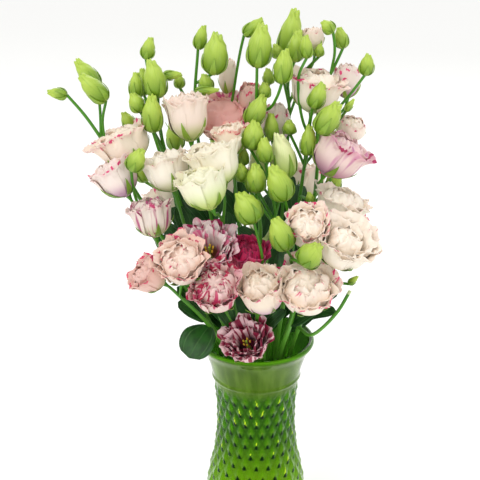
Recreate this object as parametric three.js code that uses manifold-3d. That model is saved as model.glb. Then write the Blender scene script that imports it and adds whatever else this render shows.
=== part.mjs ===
// Lisianthus bouquet standing in a pressed-glass vase.
// Millimetres, +Z up. The origin is the centre of the vase's underside, and -Y is the front.
import * as THREE from "three";
import { LoftGeometry } from "three/addons/geometries/LoftGeometry.js";
import { mergeVertices } from "three/addons/utils/BufferGeometryUtils.js";
import Module from "manifold-3d";

const wasm = await Module();
wasm.setup();

// Vase: the outside radius at each height, from the foot over the bulb and the waist to the flared rim.
const VASE_OUTLINE = [
  [0, 45],
  [26, 51.5],
  [58, 53.5],
  [90, 50.5],
  [122, 44],
  [156, 41],
  [190, 42.6],
  [217, 47],
  [236, 53.5],
  [246, 60],
];
const VASE_HEIGHT = 250;
const LIP_RADIUS = 58;
const LIP_WIDTH = 3.5;
const LIP_ROUNDING = 2.5;
const RIM_EDGE_LEVEL = 246;
const GLASS_WALL = 4.5;
const GLASS_FLOOR = 10;
const FLOOR_ROUNDING = 4;
const FOOT_EDGE = 3;

// Pressed relief: staggered diamonds, each a low pyramid, between the foot and the plain band.
const DIAMONDS_AROUND = 22;
const RELIEF_FROM = 26;
const RELIEF_TO = 206;
const RELIEF_ROWS = 15;
const DIAMOND_HEIGHT = 0.9;
const RAISED_LINE_ABOVE = 2.5;
const RAISED_LINE_HEIGHT = 1.4;

// Clear distance between two pieces that touch on the real bouquet.
const GAP = 0.35;

// Clear distance kept round a bloom's petals.
const BLOOM_CLEARANCE = 0.5;

// Water in the vase.
const WATER_LEVEL = 150;

// Stems, from the foot in the water to the heads.
const STEM_RADIUS = 2.6;
const MOUTH_STEM_RADIUS = 2.4;
const FORK_STEM_RADIUS = 2;
const STALK_RADIUS = 1.45;
const STALK_SPACING = 1.2;
const WAIST_SQUEEZE = 0.62;
const WAIST_TURN = 18;
const FOOT_SPREAD = 0.72;
const FOOT_TURN = 50;
const MOUTH_LEVEL = 251;
const STALK_SIDES = 4;
const BLOOM_STALK_SIDES = 3;
const BUD_SIDES = 5;

// Leaves are blades of this thickness.
const LEAF_THICKNESS = 0.8;

// Where the bouquet is seen from. A head's place is the pixel where it shows in a picture of
// 480 by 480 pixels, together with its depth: its distance behind the vase's axis.
const EYE = new THREE.Vector3(-17, -1110, 790);
const EYE_PITCH = THREE.MathUtils.degToRad(21.3);
const FOCAL_PIXELS = 1185;
const PICTURE_MIDDLE = 240;
const AHEAD = new THREE.Vector3(0, Math.cos(EYE_PITCH), -Math.sin(EYE_PITCH));
const UPWARD = new THREE.Vector3(0, Math.sin(EYE_PITCH), Math.cos(EYE_PITCH));

function at([px, py], depth) {
  const ray = AHEAD.clone()
    .multiplyScalar(FOCAL_PIXELS)
    .addScaledVector(UPWARD, PICTURE_MIDDLE - py);
  ray.x += px - PICTURE_MIDDLE;
  return EYE.clone().addScaledVector(ray, (depth - EYE.y) / ray.y);
}

// Stems: the place in the vase's mouth (x, y), and the fork as pixel and depth.
const STEMS = {
  s01: { mouth: [-42, -2], fork: [168, 240], depth: -10 },
  s02: { mouth: [-36, -19], fork: [170, 264], depth: -44 },
  s03: { mouth: [-27, -12], fork: [184, 240], depth: -32 },
  s04: { mouth: [-32, 12], fork: [182, 218], depth: 12 },
  s05: { mouth: [-27, -32], fork: [194, 303], depth: -58 },
  s06: { mouth: [-19, 3], fork: [206, 218], depth: 6 },
  s07: { mouth: [-14, -24], fork: [214, 256], depth: -42 },
  s08: { mouth: [-10, -39], fork: [219, 312], depth: -62 },
  s09: { mouth: [-8, 15], fork: [236, 205], depth: 24 },
  s10: { mouth: [5, 1], fork: [262, 220], depth: 4 },
  s11: { mouth: [15, 15], fork: [287, 205], depth: 20 },
  s12: { mouth: [22, -5], fork: [299, 220], depth: -10 },
  s13: { mouth: [33, 9], fork: [316, 225], depth: 16 },
  s14: { mouth: [38, -13], fork: [318, 284], depth: -34 },
  s15: { mouth: [25, -31], fork: [301, 312], depth: -58 },
  s16: { mouth: [6, -41], fork: [262, 308], depth: -60 },
  s17: { mouth: [3, -18], fork: [258, 240], depth: -26 },
  s18: { mouth: [-20, 28], fork: [206, 245], depth: 52 },
  s19: { mouth: [2, 37], fork: [250, 240], depth: 64 },
  s20: { mouth: [24, 29], fork: [300, 245], depth: 52 },
};

// Blooms: stem, base pixel, mouth pixel, depth of the base, how far the mouth leans to the front
// (negative) or back, mouth radius, petals in the outer whorl, how far it has opened, colour, and
// where the stalk leaves the stem between its fork (0) and its top (1).
const [TIGHT, HALF, WIDE] = [1, 2, 3];
const CREAM = 0xf5f0dc;
const BLUSH = 0xf4e3dd;
const ROSE = 0xcf8c8c;
const FLECKED = 0xf1dcdc;
const MAGENTA = 0x9a2a5a;
const STRIPED = 0xc98aa0;
const BLOOMS = [
  ["s01", [136, 160], [118, 127], -12, 2, 27, 5, WIDE, BLUSH, 0.5],
  ["s02", [128, 195], [106, 161], -42, 2, 21, 5, HALF, BLUSH, 1],
  ["s06", [190, 140], [183, 91], -20, 8, 21, 5, HALF, CREAM, 0.4],
  ["s03", [172, 190], [158, 151], -50, 4, 22, 5, HALF, CREAM, 1],
  ["s09", [224, 130], [221, 108], 12, -20, 24, 5, WIDE, ROSE, 0.3],
  ["s09", [232, 150], [226, 120], -14, 0, 17, 4, HALF, FLECKED, 0.1],
  ["s07", [225, 184], [213, 142], -48, 6, 24, 5, WIDE, CREAM, 1],
  ["s11", [314, 50], [312, 27], 38, 0, 11, 4, TIGHT, BLUSH, 0.7],
  ["s12", [310, 108], [318, 67], -2, 0, 25, 5, WIDE, FLECKED, 1],
  ["s13", [346, 98], [347, 63], 26, 0, 14, 4, TIGHT, FLECKED, 0.5],
  ["s10", [276, 142], [275, 103], 24, -4, 15, 4, TIGHT, FLECKED, 0.3],
  ["s13", [328, 179], [351, 142], -22, 0, 27, 5, WIDE, STRIPED, 0.2],
  ["s13", [348, 138], [354, 119], 24, -6, 15, 4, TIGHT, FLECKED, 0.4],
  ["s09", [250, 112], [251, 84], 32, -4, 12, 4, TIGHT, BLUSH, 0.5],
  ["s02", [156, 236], [148, 198], -62, 2, 20, 5, HALF, FLECKED, 0.2],
  ["s07", [212, 208], [195, 168], -82, 0, 23, 5, HALF, CREAM, 0.6],
  ["s14", [330, 224], [344, 186], -26, 0, 26, 5, WIDE, FLECKED, 1],
  ["s05", [163, 283], [138, 268], -72, -8, 19, 5, HALF, BLUSH, 1],
  ["s05", [184, 274], [178, 254], -84, -28, 22, 5, WIDE, FLECKED, 0.6],
  ["s08", [211, 262], [208, 239], -54, -26, 25, 5, WIDE, STRIPED, 1],
  ["s08", [222, 302], [217, 279], -84, -28, 23, 5, WIDE, FLECKED, 0.4],
  ["s16", [247, 279], [247, 243], -52, -12, 19, 5, WIDE, MAGENTA, 1],
  ["s16", [264, 309], [252, 277], -84, -18, 22, 5, HALF, CREAM, 0.3],
  ["s15", [304, 245], [308, 221], -76, -24, 20, 5, HALF, FLECKED, 1],
  ["s14", [336, 262], [350, 231], -72, -14, 28, 5, WIDE, CREAM, 0.3],
  ["s15", [306, 301], [308, 279], -76, -28, 27, 5, WIDE, FLECKED, 0.3],
  ["s16", [250, 350], [244, 336], -52, -20, 22.5, 5, WIDE, MAGENTA, 0.1],
  ["s09", [227, 96], [227, 60], 30, 0, 9, 4, TIGHT, CREAM, 1],
  ["s18", [170, 215], [158, 182], 62, 12, 25, 4, HALF, BLUSH, 0.4],
  ["s18", [205, 190], [198, 152], 92, 10, 25, 4, HALF, CREAM, 1],
  ["s19", [240, 205], [236, 165], 92, 14, 25, 4, HALF, FLECKED, 1],
  ["s19", [268, 245], [270, 212], 98, 26, 24, 4, HALF, CREAM, 0.3],
  ["s20", [300, 200], [306, 161], 72, 10, 25, 4, HALF, BLUSH, 1],
  ["s20", [334, 230], [350, 205], 50, 10, 24, 4, HALF, FLECKED, 0.3],
  ["s18", [190, 262], [176, 238], 58, 26, 23, 4, HALF, FLECKED, 0.1],
];

// Buds: stem, tip pixel, base pixel, width, depth, where the stalk leaves the stem, and the
// pixels that the stalk passes where it shows.
const BUDS = [
  ["s01", [47, 92], [67, 95], 11, 10, 1, [[80, 99], [94, 117], [112, 146]]],
  ["s01", [80, 75], [106, 101], 19, -2, 0.7, [[116, 122]]],
  ["s01", [76, 60], [98, 88], 17, 20, 0.75, []],
  ["s01", [122, 112], [131, 130], 13, 8, 0.5, []],
  ["s04", [151, 37], [146, 59], 13, 12, 1, []],
  ["s04", [151, 60], [158, 98], 21, -10, 0.6, []],
  ["s04", [136, 72], [137, 98], 14, 4, 0.5, []],
  ["s04", [142, 68], [144, 95], 12, 24, 0.7, []],
  ["s04", [182, 74], [163, 76], 9, 6, 0.8, []],
  ["s04", [131, 95], [139, 114], 15, -10, 0.4, []],
  ["s03", [155, 95], [156, 131], 20, -20, 0.4, [[160, 146]]],
  ["s06", [178, 73], [180, 88], 10, 24, 0.7, []],
  ["s06", [205, 75], [208, 92], 14, 12, 0.6, []],
  ["s06", [219, 93], [195, 94], 8, 0, 0.5, []],
  ["s06", [218, 33], [213, 74], 24, 0, 0.9, [[215, 92]]],
  ["s06", [204, 25], [198, 49], 12, 24, 1, []],
  ["s09", [263, 19], [244, 35], 12, 12, 0.9, [[238, 45], [237, 62], [238, 80]]],
  ["s10", [263, 24], [257, 67], 23, -10, 1, []],
  ["s11", [296, 9], [285, 60], 22, 32, 1, []],
  ["s11", [301, 33], [297, 64], 17, 6, 0.9, []],
  ["s11", [275, 44], [279, 58], 11, 16, 0.8, []],
  ["s12", [306, 36], [307, 59], 12, -8, 0.9, [[306, 75], [301, 93], [297, 112], [295, 135]]],
  ["s13", [322, 21], [333, 32], 12, 12, 0.9, [[340, 43], [339, 58], [335, 76]]],
  ["s13", [339, 27], [343, 48], 13, 28, 1, []],
  ["s11", [320, 44], [319, 57], 9, 22, 0.8, []],
  ["s10", [285, 49], [282, 83], 18, -22, 0.8, [[281, 108], [278, 132]]],
  ["s10", [268, 68], [269, 84], 11, 18, 0.7, []],
  ["s10", [265, 82], [264, 98], 13, 0, 0.6, []],
  ["s10", [261, 97], [246, 126], 19, -16, 0.5, []],
  ["s17", [257, 121], [251, 149], 21, -36, 0.8, []],
  ["s17", [271, 113], [272, 140], 14, -6, 0.9, []],
  ["s17", [263, 137], [265, 162], 15, -44, 0.6, [[264, 176]]],
  ["s12", [289, 120], [290, 134], 13, -2, 0.6, []],
  ["s12", [323, 83], [312, 108], 16, -18, 0.8, [[306, 130]]],
  ["s12", [339, 103], [319, 133], 22, -42, 0.6, [[315, 153]]],
  ["s14", [369, 54], [365, 75], 14, 0, 0.55, [[356, 90], [344, 108], [332, 136], [327, 178]]],
  ["s13", [354, 99], [346, 111], 6, -12, 0.6, []],
  ["s12", [310, 125], [307, 155], 15, -24, 0.5, []],
  ["s02", [144, 150], [133, 171], 17, -58, 0.6, [[136, 185]]],
  ["s17", [243, 147], [243, 165], 11, -22, 0.5, []],
  ["s17", [239, 163], [243, 181], 13, -52, 0.45, []],
  ["s17", [279, 133], [286, 178], 24, -32, 1, []],
  ["s17", [258, 147], [259, 182], 18, -12, 0.7, []],
  ["s16", [256, 164], [256, 192], 19, -60, 0.8, []],
  ["s15", [273, 166], [285, 200], 23, -74, 0.8, [[283, 216]]],
  ["s16", [240, 192], [254, 222], 25, -82, 0.6, []],
  ["s12", [309, 192], [311, 203], 8, -32, 0.3, []],
  ["s15", [277, 216], [289, 248], 22, -90, 0.6, [[284, 268]]],
  ["s15", [318, 242], [301, 262], 23, -102, 0.4, [[286, 276]]],
  ["s14", [379, 245], [361, 256], 7, -48, 0.35, [[346, 267], [337, 280]]],
  ["s14", [358, 276], [349, 284], 6, -58, 0.1, []],
  ["s18", [140, 158], [148, 184], 17, 78, 0.6, []],
  ["s18", [172, 122], [177, 150], 18, 72, 0.5, []],
  ["s19", [212, 126], [219, 154], 18, 100, 0.5, []],
  ["s19", [256, 140], [255, 170], 19, 106, 0.5, []],
  ["s19", [272, 108], [270, 136], 17, 78, 0.5, []],
  ["s20", [328, 126], [323, 154], 18, 84, 0.8, []],
  ["s20", [338, 168], [330, 194], 17, 84, 0.5, []],
  ["s19", [300, 225], [292, 250], 18, 104, 0.2, []],
  ["s19", [226, 238], [232, 264], 18, 104, 0.2, []],
];

// A stalk that was cut: it shows as a pale stick beside the rim, on the last stem to the right.
const CUT_STALK = {
  stem: "s14",
  leave: 0.25,
  route: [[314, 334], [338, 311], [350, 291]],
  depth: -52,
  radius: 1.8,
};

// Leaves: stem, base pixel and depth, tip pixel and depth, width.
const LEAVES = [
  ["s05", [212, 326], -48, [189, 358], -72, 38],
  ["s02", [206, 316], -30, [177, 287], -34, 19],
  ["s03", [197, 238], -30, [178, 206], -24, 17],
  ["s14", [321, 316], -20, [338, 293], -26, 12],
  ["s14", [308, 326], -26, [336, 311], -34, 16],
  ["s16", [272, 336], -44, [286, 310], -58, 14],
  ["s08", [226, 330], -46, [216, 303], -52, 20],
  ["s01", [184, 262], -10, [158, 236], 10, 19],
  ["s04", [190, 240], 10, [170, 208], 26, 18],
  ["s18", [212, 260], 46, [196, 222], 82, 20],
  ["s19", [252, 268], 52, [274, 250], 88, 22],
  ["s20", [296, 262], 44, [322, 240], 66, 22],
  ["s13", [310, 256], 12, [338, 232], 20, 18],
  ["s17", [257, 256], -24, [238, 228], -34, 16],
  ["s12", [296, 244], -8, [316, 216], -14, 16],
  ["s18", [222, 300], 30, [198, 264], 52, 28],
  ["s07", [216, 262], -42, [228, 212], -38, 20],
  ["s19", [247, 308], 36, [230, 266], 48, 30],
  ["s12", [291, 282], -8, [283, 244], -12, 20],
  ["s20", [276, 318], 26, [294, 276], 40, 30],
  ["s15", [300, 334], -52, [318, 306], -46, 22],
  ["s05", [206, 322], -50, [178, 302], -50, 20],
  ["s13", [290, 312], 6, [314, 272], 12, 24],
  ["s13", [303, 340], 8, [316, 306], 22, 24],
  ["s11", [281, 340], 12, [276, 300], 24, 26],
];

// Colours of the plant and the glass.
const GREEN = 0x4f8a1e;
const GLASS_GREEN = 0x3f8f1e;
const WATER_TINT = 0xdfeedd;

// Geometry helpers

// A closed geometry as a solid. Faces that have collapsed where a ring ends in a point are dropped.
function solidOf(geometry) {
  const bare = new THREE.BufferGeometry()
    .setAttribute("position", geometry.getAttribute("position"))
    .setIndex(geometry.index);
  const merged = mergeVertices(bare, 1e-4);
  const corners = merged.index.array;
  const triVerts = [];
  for (let i = 0; i < corners.length; i += 3) {
    const [a, b, c] = corners.subarray(i, i + 3);
    if (a !== b && b !== c && c !== a) triVerts.push(a, b, c);
  }
  return new wasm.Manifold(
    new wasm.Mesh({
      numProp: 3,
      vertProperties: merged.attributes.position.array,
      triVerts: new Uint32Array(triVerts),
    }),
  );
}

function meshOf(solid, name, color, roughness) {
  const { vertProperties, triVerts } = solid.getMesh();
  const geometry = new THREE.BufferGeometry()
    .setAttribute("position", new THREE.BufferAttribute(vertProperties, 3))
    .setIndex(new THREE.BufferAttribute(triVerts, 1));
  geometry.computeVertexNormals();
  const material = new THREE.MeshStandardMaterial({ color, roughness, metalness: 0 });
  const mesh = new THREE.Mesh(geometry, material);
  mesh.name = name;
  return mesh;
}

// A smooth curve through a list of [position, value] pairs.
function smoothValue(pairs, position) {
  let i = 0;
  while (i < pairs.length - 2 && position > pairs[i + 1][0]) i += 1;
  const slope = (k) => {
    const [before, after] = [pairs[Math.max(k - 1, 0)], pairs[Math.min(k + 1, pairs.length - 1)]];
    return (after[1] - before[1]) / (after[0] - before[0]);
  };
  const [x0, y0] = pairs[i];
  const [x1, y1] = pairs[i + 1];
  const span = x1 - x0;
  const t = THREE.MathUtils.clamp((position - x0) / span, 0, 1);
  return (
    (2 * t ** 3 - 3 * t ** 2 + 1) * y0 +
    (t ** 3 - 2 * t ** 2 + t) * span * slope(i) +
    (3 * t ** 2 - 2 * t ** 3) * y1 +
    (t ** 3 - t ** 2) * span * slope(i + 1)
  );
}

// A surface built ring by ring, from the middle of its first ring to the middle of its last. Two
// rings may differ in their number of points.
class RingSurface {
  constructor() {
    this.vertices = [];
    this.faces = [];
  }

  addPoint(x, y, z) {
    this.vertices.push(x, y, z);
    return this.vertices.length / 3 - 1;
  }

  // Adds a ring of points. The radius may be a number or a function of the point's index.
  ring(height, radius, count) {
    return Array.from({ length: count }, (_, i) => {
      const r = typeof radius === "function" ? radius(i) : radius;
      const angle = (2 * Math.PI * i) / count;
      return this.addPoint(r * Math.cos(angle), r * Math.sin(angle), height);
    });
  }

  cap(points, height, outward) {
    const middle = this.addPoint(0, 0, height);
    points.forEach((p, i) => {
      const q = points[(i + 1) % points.length];
      this.faces.push(...(outward ? [middle, p, q] : [middle, q, p]));
    });
  }

  // Joins two rings of the same count. The diagonal of each quad leans the way that lean says.
  band(low, high, lean = () => true) {
    const n = low.length;
    for (let i = 0; i < n; i += 1) {
      const [a, b] = [low[i], low[(i + 1) % n]];
      const [c, d] = [high[(i + 1) % n], high[i]];
      this.faces.push(...(lean(i) ? [a, b, c, a, c, d] : [a, b, d, b, c, d]));
    }
  }

  // Joins a ring to one with half as many points.
  halve(full, half) {
    const n = half.length;
    for (let i = 0; i < n; i += 1) {
      const [a, b, c] = [full[2 * i], full[2 * i + 1], full[(2 * i + 2) % full.length]];
      const [p, q] = [half[i], half[(i + 1) % n]];
      this.faces.push(a, b, p, b, q, p, b, c, q);
    }
  }

  solid() {
    const geometry = new THREE.BufferGeometry()
      .setAttribute("position", new THREE.Float32BufferAttribute(this.vertices, 3))
      .setIndex(this.faces);
    return solidOf(geometry);
  }
}

// Vase

const outsideRadius = (z) => smoothValue(VASE_OUTLINE, z);
const insideRadius = (z) => outsideRadius(z) - GLASS_WALL - (z === GLASS_FLOOR ? FLOOR_ROUNDING : 0);
const PLAIN_BAND_LEVELS = [217, 236, RIM_EDGE_LEVEL];
const INSIDE_LEVELS = [GLASS_FLOOR, 58, 100, WATER_LEVEL, 190, 217, 238];

function vaseSolid() {
  const full = 2 * DIAMONDS_AROUND;
  const vase = new RingSurface();
  const foot = vase.ring(0, outsideRadius(0) - FOOT_EDGE, full);
  vase.cap(foot, 0, false);
  const edge = vase.ring(FOOT_EDGE, outsideRadius(FOOT_EDGE), full);
  vase.band(foot, edge);
  let below = edge;
  for (let row = 0; row <= RELIEF_ROWS; row += 1) {
    const z = RELIEF_FROM + ((RELIEF_TO - RELIEF_FROM) * row) / RELIEF_ROWS;
    const raised = (i) => (i + row) % 2 === 1;
    const radius = (i) => outsideRadius(z) + (raised(i) ? DIAMOND_HEIGHT : -DIAMOND_HEIGHT);
    const ring = vase.ring(z, row === RELIEF_ROWS ? outsideRadius(z) : radius, full);
    vase.band(below, ring, (i) => (i + row) % 2 === 1);
    below = ring;
  }
  for (const [z, radius] of [
    [RELIEF_TO + RAISED_LINE_ABOVE, outsideRadius(RELIEF_TO) + RAISED_LINE_HEIGHT],
    ...PLAIN_BAND_LEVELS.map((level) => [level, outsideRadius(level)]),
    [VASE_HEIGHT, LIP_RADIUS],
    [VASE_HEIGHT - LIP_ROUNDING, LIP_RADIUS - LIP_WIDTH],
  ]) {
    const ring = vase.ring(z, radius, full);
    vase.band(below, ring);
    below = ring;
  }
  const levels = [...INSIDE_LEVELS].reverse();
  let inner = vase.ring(levels[0], insideRadius(levels[0]), DIAMONDS_AROUND);
  vase.halve(below, inner);
  for (const z of levels.slice(1)) {
    const ring = vase.ring(z, insideRadius(z), DIAMONDS_AROUND);
    vase.band(inner, ring);
    inner = ring;
  }
  vase.cap(inner, GLASS_FLOOR, true);
  return vase.solid();
}

// Layout of the heads

const along = (a, b, t) => a.clone().lerp(b, t);

const blooms = BLOOMS.map(([stem, base, mouth, depth, lean, radius, outer, open, color, leave], i) => ({
  name: `bloom_${String(i + 1).padStart(2, "0")}`,
  bloom: true,
  stem,
  base: at(base, depth),
  tip: at(mouth, depth + lean),
  lean,
  radius,
  outer,
  open,
  color,
  leave,
  via: [],
}));
const buds = BUDS.map(([stem, tip, base, width, depth, leave, via]) => ({
  bloom: false,
  stem,
  base: at(base, depth),
  tip: at(tip, depth),
  radius: width / 2,
  leave,
  via,
}));
const heads = [...blooms, ...buds];

// The room that a head takes: a rounded cone between two shares of its length, with a share of
// the head's radius at each.
const BLOOM_ROOM = { from: 0, to: 0.72, narrow: 0.2, wide: 1.02 };
const BUD_ROOM = { from: 0.1, to: 0.68, narrow: 0.6, wide: 0.95 };
function room(head) {
  const { from, to, narrow, wide } = head.bloom ? BLOOM_ROOM : BUD_ROOM;
  return {
    a: along(head.base, head.tip, from),
    b: along(head.base, head.tip, to),
    ra: head.radius * narrow,
    rb: head.radius * wide,
    head,
  };
}

// Closest points of two segments, as the share along each.
function closest(p, q, r, s) {
  const d1 = q.clone().sub(p);
  const d2 = s.clone().sub(r);
  const w = p.clone().sub(r);
  const [a, b, c] = [d1.dot(d1), d1.dot(d2), d2.dot(d2)];
  const [d, e] = [d1.dot(w), d2.dot(w)];
  const clamp = (x) => Math.min(Math.max(x, 0), 1);
  const over = a * c - b * b;
  let u = over > 1e-9 ? clamp((b * e - c * d) / over) : 0;
  const v = c > 1e-9 ? clamp((b * u + e) / c) : 0;
  u = a > 1e-9 ? clamp((b * v - d) / a) : 0;
  return [u, v];
}

// Heads that would touch slide apart, mostly along the line of sight, so that each stays where it
// shows in the picture.
const HEAD_ROUNDS = 120;
const HEAD_SPACING = 1.2;
const SIGHT_SHARE = 0.45;
const SIDEWAYS_SHARE = 0.12;
const HEAD_STEP = 4;
function slideHeadsApart() {
  for (let round = 0; round < HEAD_ROUNDS; round += 1) {
    const rooms = heads.map(room);
    const shift = heads.map(() => new THREE.Vector3());
    for (let i = 0; i < rooms.length; i += 1) {
      for (let j = i + 1; j < rooms.length; j += 1) {
        const [one, two] = [rooms[i], rooms[j]];
        const [u, v] = closest(one.a, one.b, two.a, two.b);
        const apart = along(two.a, two.b, v).sub(along(one.a, one.b, u));
        const radii = one.ra + (one.rb - one.ra) * u + two.ra + (two.rb - two.ra) * v;
        const distance = apart.length();
        const lack = radii + HEAD_SPACING - distance;
        if (lack <= 0) continue;
        apart.multiplyScalar(lack / Math.max(distance, 1));
        const sight = AHEAD.clone().multiplyScalar(apart.dot(AHEAD));
        const push = sight.clone().multiplyScalar(SIGHT_SHARE);
        push.addScaledVector(apart.sub(sight), SIDEWAYS_SHARE);
        shift[i].sub(push);
        shift[j].add(push);
      }
    }
    heads.forEach((head, i) => {
      shift[i].clampLength(0, HEAD_STEP);
      head.base.add(shift[i]);
      head.tip.add(shift[i]);
    });
  }
}

// Routes of the stems and stalks

function turned([x, y], degrees, scale, z) {
  const angle = THREE.MathUtils.degToRad(degrees);
  return new THREE.Vector3(
    scale * (x * Math.cos(angle) - y * Math.sin(angle)),
    scale * (x * Math.sin(angle) + y * Math.cos(angle)),
    z,
  );
}

// The point at a share of a route's length.
function pointOn(points, share) {
  const lengths = points.slice(1).map((p, i) => p.distanceTo(points[i]));
  let left = share * lengths.reduce((sum, l) => sum + l, 0);
  for (let i = 0; i < lengths.length; i += 1) {
    if (left <= lengths[i] || i === lengths.length - 1) {
      return along(points[i], points[i + 1], Math.min(left / lengths[i], 1));
    }
    left -= lengths[i];
  }
  return points.at(-1).clone();
}

// The point of a route that lies nearest to a given point.
function nearestOn(points, target) {
  const spots = points.slice(1).map((p, i) => {
    const [share] = closest(points[i], p, target, target);
    return along(points[i], p, share);
  });
  return spots.reduce((best, p) => (p.distanceTo(target) < best.distanceTo(target) ? p : best));
}

// A stalk's points: it leaves along the stem and arrives in line with its head. Where the pixels
// that it passes are given, its depth changes evenly from the first of them to the head.
const STALK_STEP = 56;
const STALK_STEPS = [2, 4];
const STALK_EASE = 0.3;
const SEAT_CLEARANCE = 0.55;
const FIRST_BEND_DEPTH = 0.35;
function stalkPoints(start, heading, head) {
  const arriving = head.base.clone().sub(head.tip).normalize();
  const stop = head.base.clone().addScaledVector(arriving, head.bloom ? SEAT_CLEARANCE : 0);
  if (head.via.length) {
    const bends = head.via.map((pixel, i) => {
      const share = THREE.MathUtils.lerp(1, FIRST_BEND_DEPTH, (i + 1) / (head.via.length + 1));
      return at(pixel, THREE.MathUtils.lerp(start.y, stop.y, share));
    });
    return [start, ...bends.reverse(), stop];
  }
  const reach = start.distanceTo(stop);
  const leaving = start.clone().addScaledVector(heading, STALK_EASE * reach);
  const landing = stop.clone().addScaledVector(arriving, STALK_EASE * reach);
  const steps = THREE.MathUtils.clamp(Math.round(reach / STALK_STEP), ...STALK_STEPS);
  return new THREE.CubicBezierCurve3(start, leaving, landing, stop).getPoints(steps);
}

const stems = Object.entries(STEMS).map(([name, { mouth, fork, depth }]) => {
  const own = heads.filter((head) => head.stem === name);
  return { name, mouth, fork, depth, own, leader: own.find((head) => head.leave === 1) };
});

const LAST_LEAVE = 0.9;
const LEAVE_HEADING_STEP = 0.1;
// A stem's own route starts with its trunk: foot, waist, mouth, a midpoint and the fork.
const MOUTH_POINT = 2;
const FORK_POINT = 4;
function layRoutes() {
  for (const stem of stems) {
    const mouth = turned(stem.mouth, 0, 1, MOUTH_LEVEL);
    const fork = at(stem.fork, stem.depth);
    const trunk = [
      turned(stem.mouth, FOOT_TURN, FOOT_SPREAD, GLASS_FLOOR + GAP),
      turned(stem.mouth, WAIST_TURN, WAIST_SQUEEZE, WATER_LEVEL),
      mouth,
      along(mouth, fork, 0.5),
      fork,
    ];
    const heading = fork.clone().sub(mouth).normalize();
    const lead = stalkPoints(fork, heading, stem.leader);
    stem.routes = [{ head: stem.leader, points: [...trunk, ...lead.slice(1)], fixed: MOUTH_POINT + 1 }];
    for (const head of stem.own) {
      if (head === stem.leader) continue;
      const share = LAST_LEAVE * head.leave;
      const start = pointOn(lead, share);
      const ahead = pointOn(lead, share + LEAVE_HEADING_STEP).sub(start).normalize();
      const points = stalkPoints(start, ahead, head);
      stem.routes.push({ head, points, fixed: 1, share });
    }
  }
}

// Bends the routes clear of each other and of the heads.
const BEND_ROUNDS = 70;
const BEND_STEP = 3;
const BEND_SHARE = 0.5;
const STRAIGHTENING = 0.04;
function bendRoutesClear() {
  const rooms = heads.map(room);
  for (let round = 0; round < BEND_ROUNDS; round += 1) {
    const pieces = [];
    for (const stem of stems) {
      for (const route of stem.routes) {
        for (let i = 0; i + 1 < route.points.length; i += 1) {
          pieces.push({ stem, route, i, a: route.points[i], b: route.points[i + 1] });
        }
        route.push = route.points.map(() => new THREE.Vector3());
      }
    }
    const move = (piece, share, push) => {
      const last = piece.route.points.length - 1;
      const [i, j] = [piece.i, piece.i + 1];
      if (i >= piece.route.fixed) piece.route.push[i].addScaledVector(push, 1 - share);
      if (j >= piece.route.fixed && j < last) piece.route.push[j].addScaledVector(push, share);
    };
    const repel = (one, two, need, moveTwo) => {
      const [u, v] = closest(one.a, one.b, two.a, two.b);
      const apart = along(one.a, one.b, u).sub(along(two.a, two.b, v));
      const radius = two.ra === undefined ? 0 : two.ra + (two.rb - two.ra) * v;
      const distance = apart.length();
      const lack = need + radius - distance;
      if (lack <= 0) return;
      const push = apart.multiplyScalar((BEND_SHARE * lack) / Math.max(distance, 0.5));
      move(one, u, push);
      if (moveTwo) move(two, v, push.clone().negate());
    };
    pieces.forEach((one, k) => {
      for (const two of pieces.slice(k + 1)) {
        if (one.stem === two.stem) continue;
        repel(one, two, 2 * FORK_STEM_RADIUS + STALK_SPACING, true);
      }
      for (const space of rooms) {
        const nearOwnHead = space.head === one.route.head && one.i + 3 > one.route.points.length;
        if (!nearOwnHead) repel(one, space, FORK_STEM_RADIUS + STALK_SPACING, false);
      }
    });
    for (const stem of stems) {
      for (const route of stem.routes) {
        const { points, push, fixed } = route;
        const smooth = points.map((p, i) =>
          i >= Math.max(fixed, 1) && i < points.length - 1
            ? along(points[i - 1], points[i + 1], 0.5).sub(p).multiplyScalar(STRAIGHTENING)
            : new THREE.Vector3(),
        );
        points.forEach((p, i) => p.add(push[i].clampLength(0, BEND_STEP)).add(smooth[i]));
      }
      const lead = stem.routes[0].points.slice(FORK_POINT);
      for (const route of stem.routes.slice(1)) route.points[0].copy(pointOn(lead, route.share));
    }
  }
}

slideHeadsApart();
layRoutes();
bendRoutesClear();

// Green parts

// A tube through points, with a radius at each, a number of sides and a twist at each point.
function tubeSolid(points, radii, sides, twists = []) {
  let normal = new THREE.Vector3(1, 0.3, 0.2);
  const sections = points.map((p, i) => {
    const before = points[Math.max(i - 1, 0)];
    const after = points[Math.min(i + 1, points.length - 1)];
    const tangent = after.clone().sub(before).normalize();
    normal = normal.clone().addScaledVector(tangent, -normal.dot(tangent)).normalize();
    const side = new THREE.Vector3().crossVectors(tangent, normal);
    return Array.from({ length: sides }, (_, k) => {
      const angle = (2 * Math.PI * k) / sides + (twists[i] ?? 0);
      return p
        .clone()
        .addScaledVector(normal, radii[i] * Math.cos(angle))
        .addScaledVector(side, radii[i] * Math.sin(angle));
    });
  });
  return solidOf(new LoftGeometry(sections, { capStart: true, capEnd: true }));
}

function routeRadii({ points, fixed }) {
  return points.map((_, i) => {
    if (fixed === 1) return STALK_RADIUS;
    const trunk = [STEM_RADIUS, STEM_RADIUS, MOUTH_STEM_RADIUS, MOUTH_STEM_RADIUS];
    const above = (i - FORK_POINT) / (points.length - 1 - FORK_POINT);
    return trunk[i] ?? THREE.MathUtils.lerp(FORK_STEM_RADIUS, STALK_RADIUS, above);
  });
}

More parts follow.
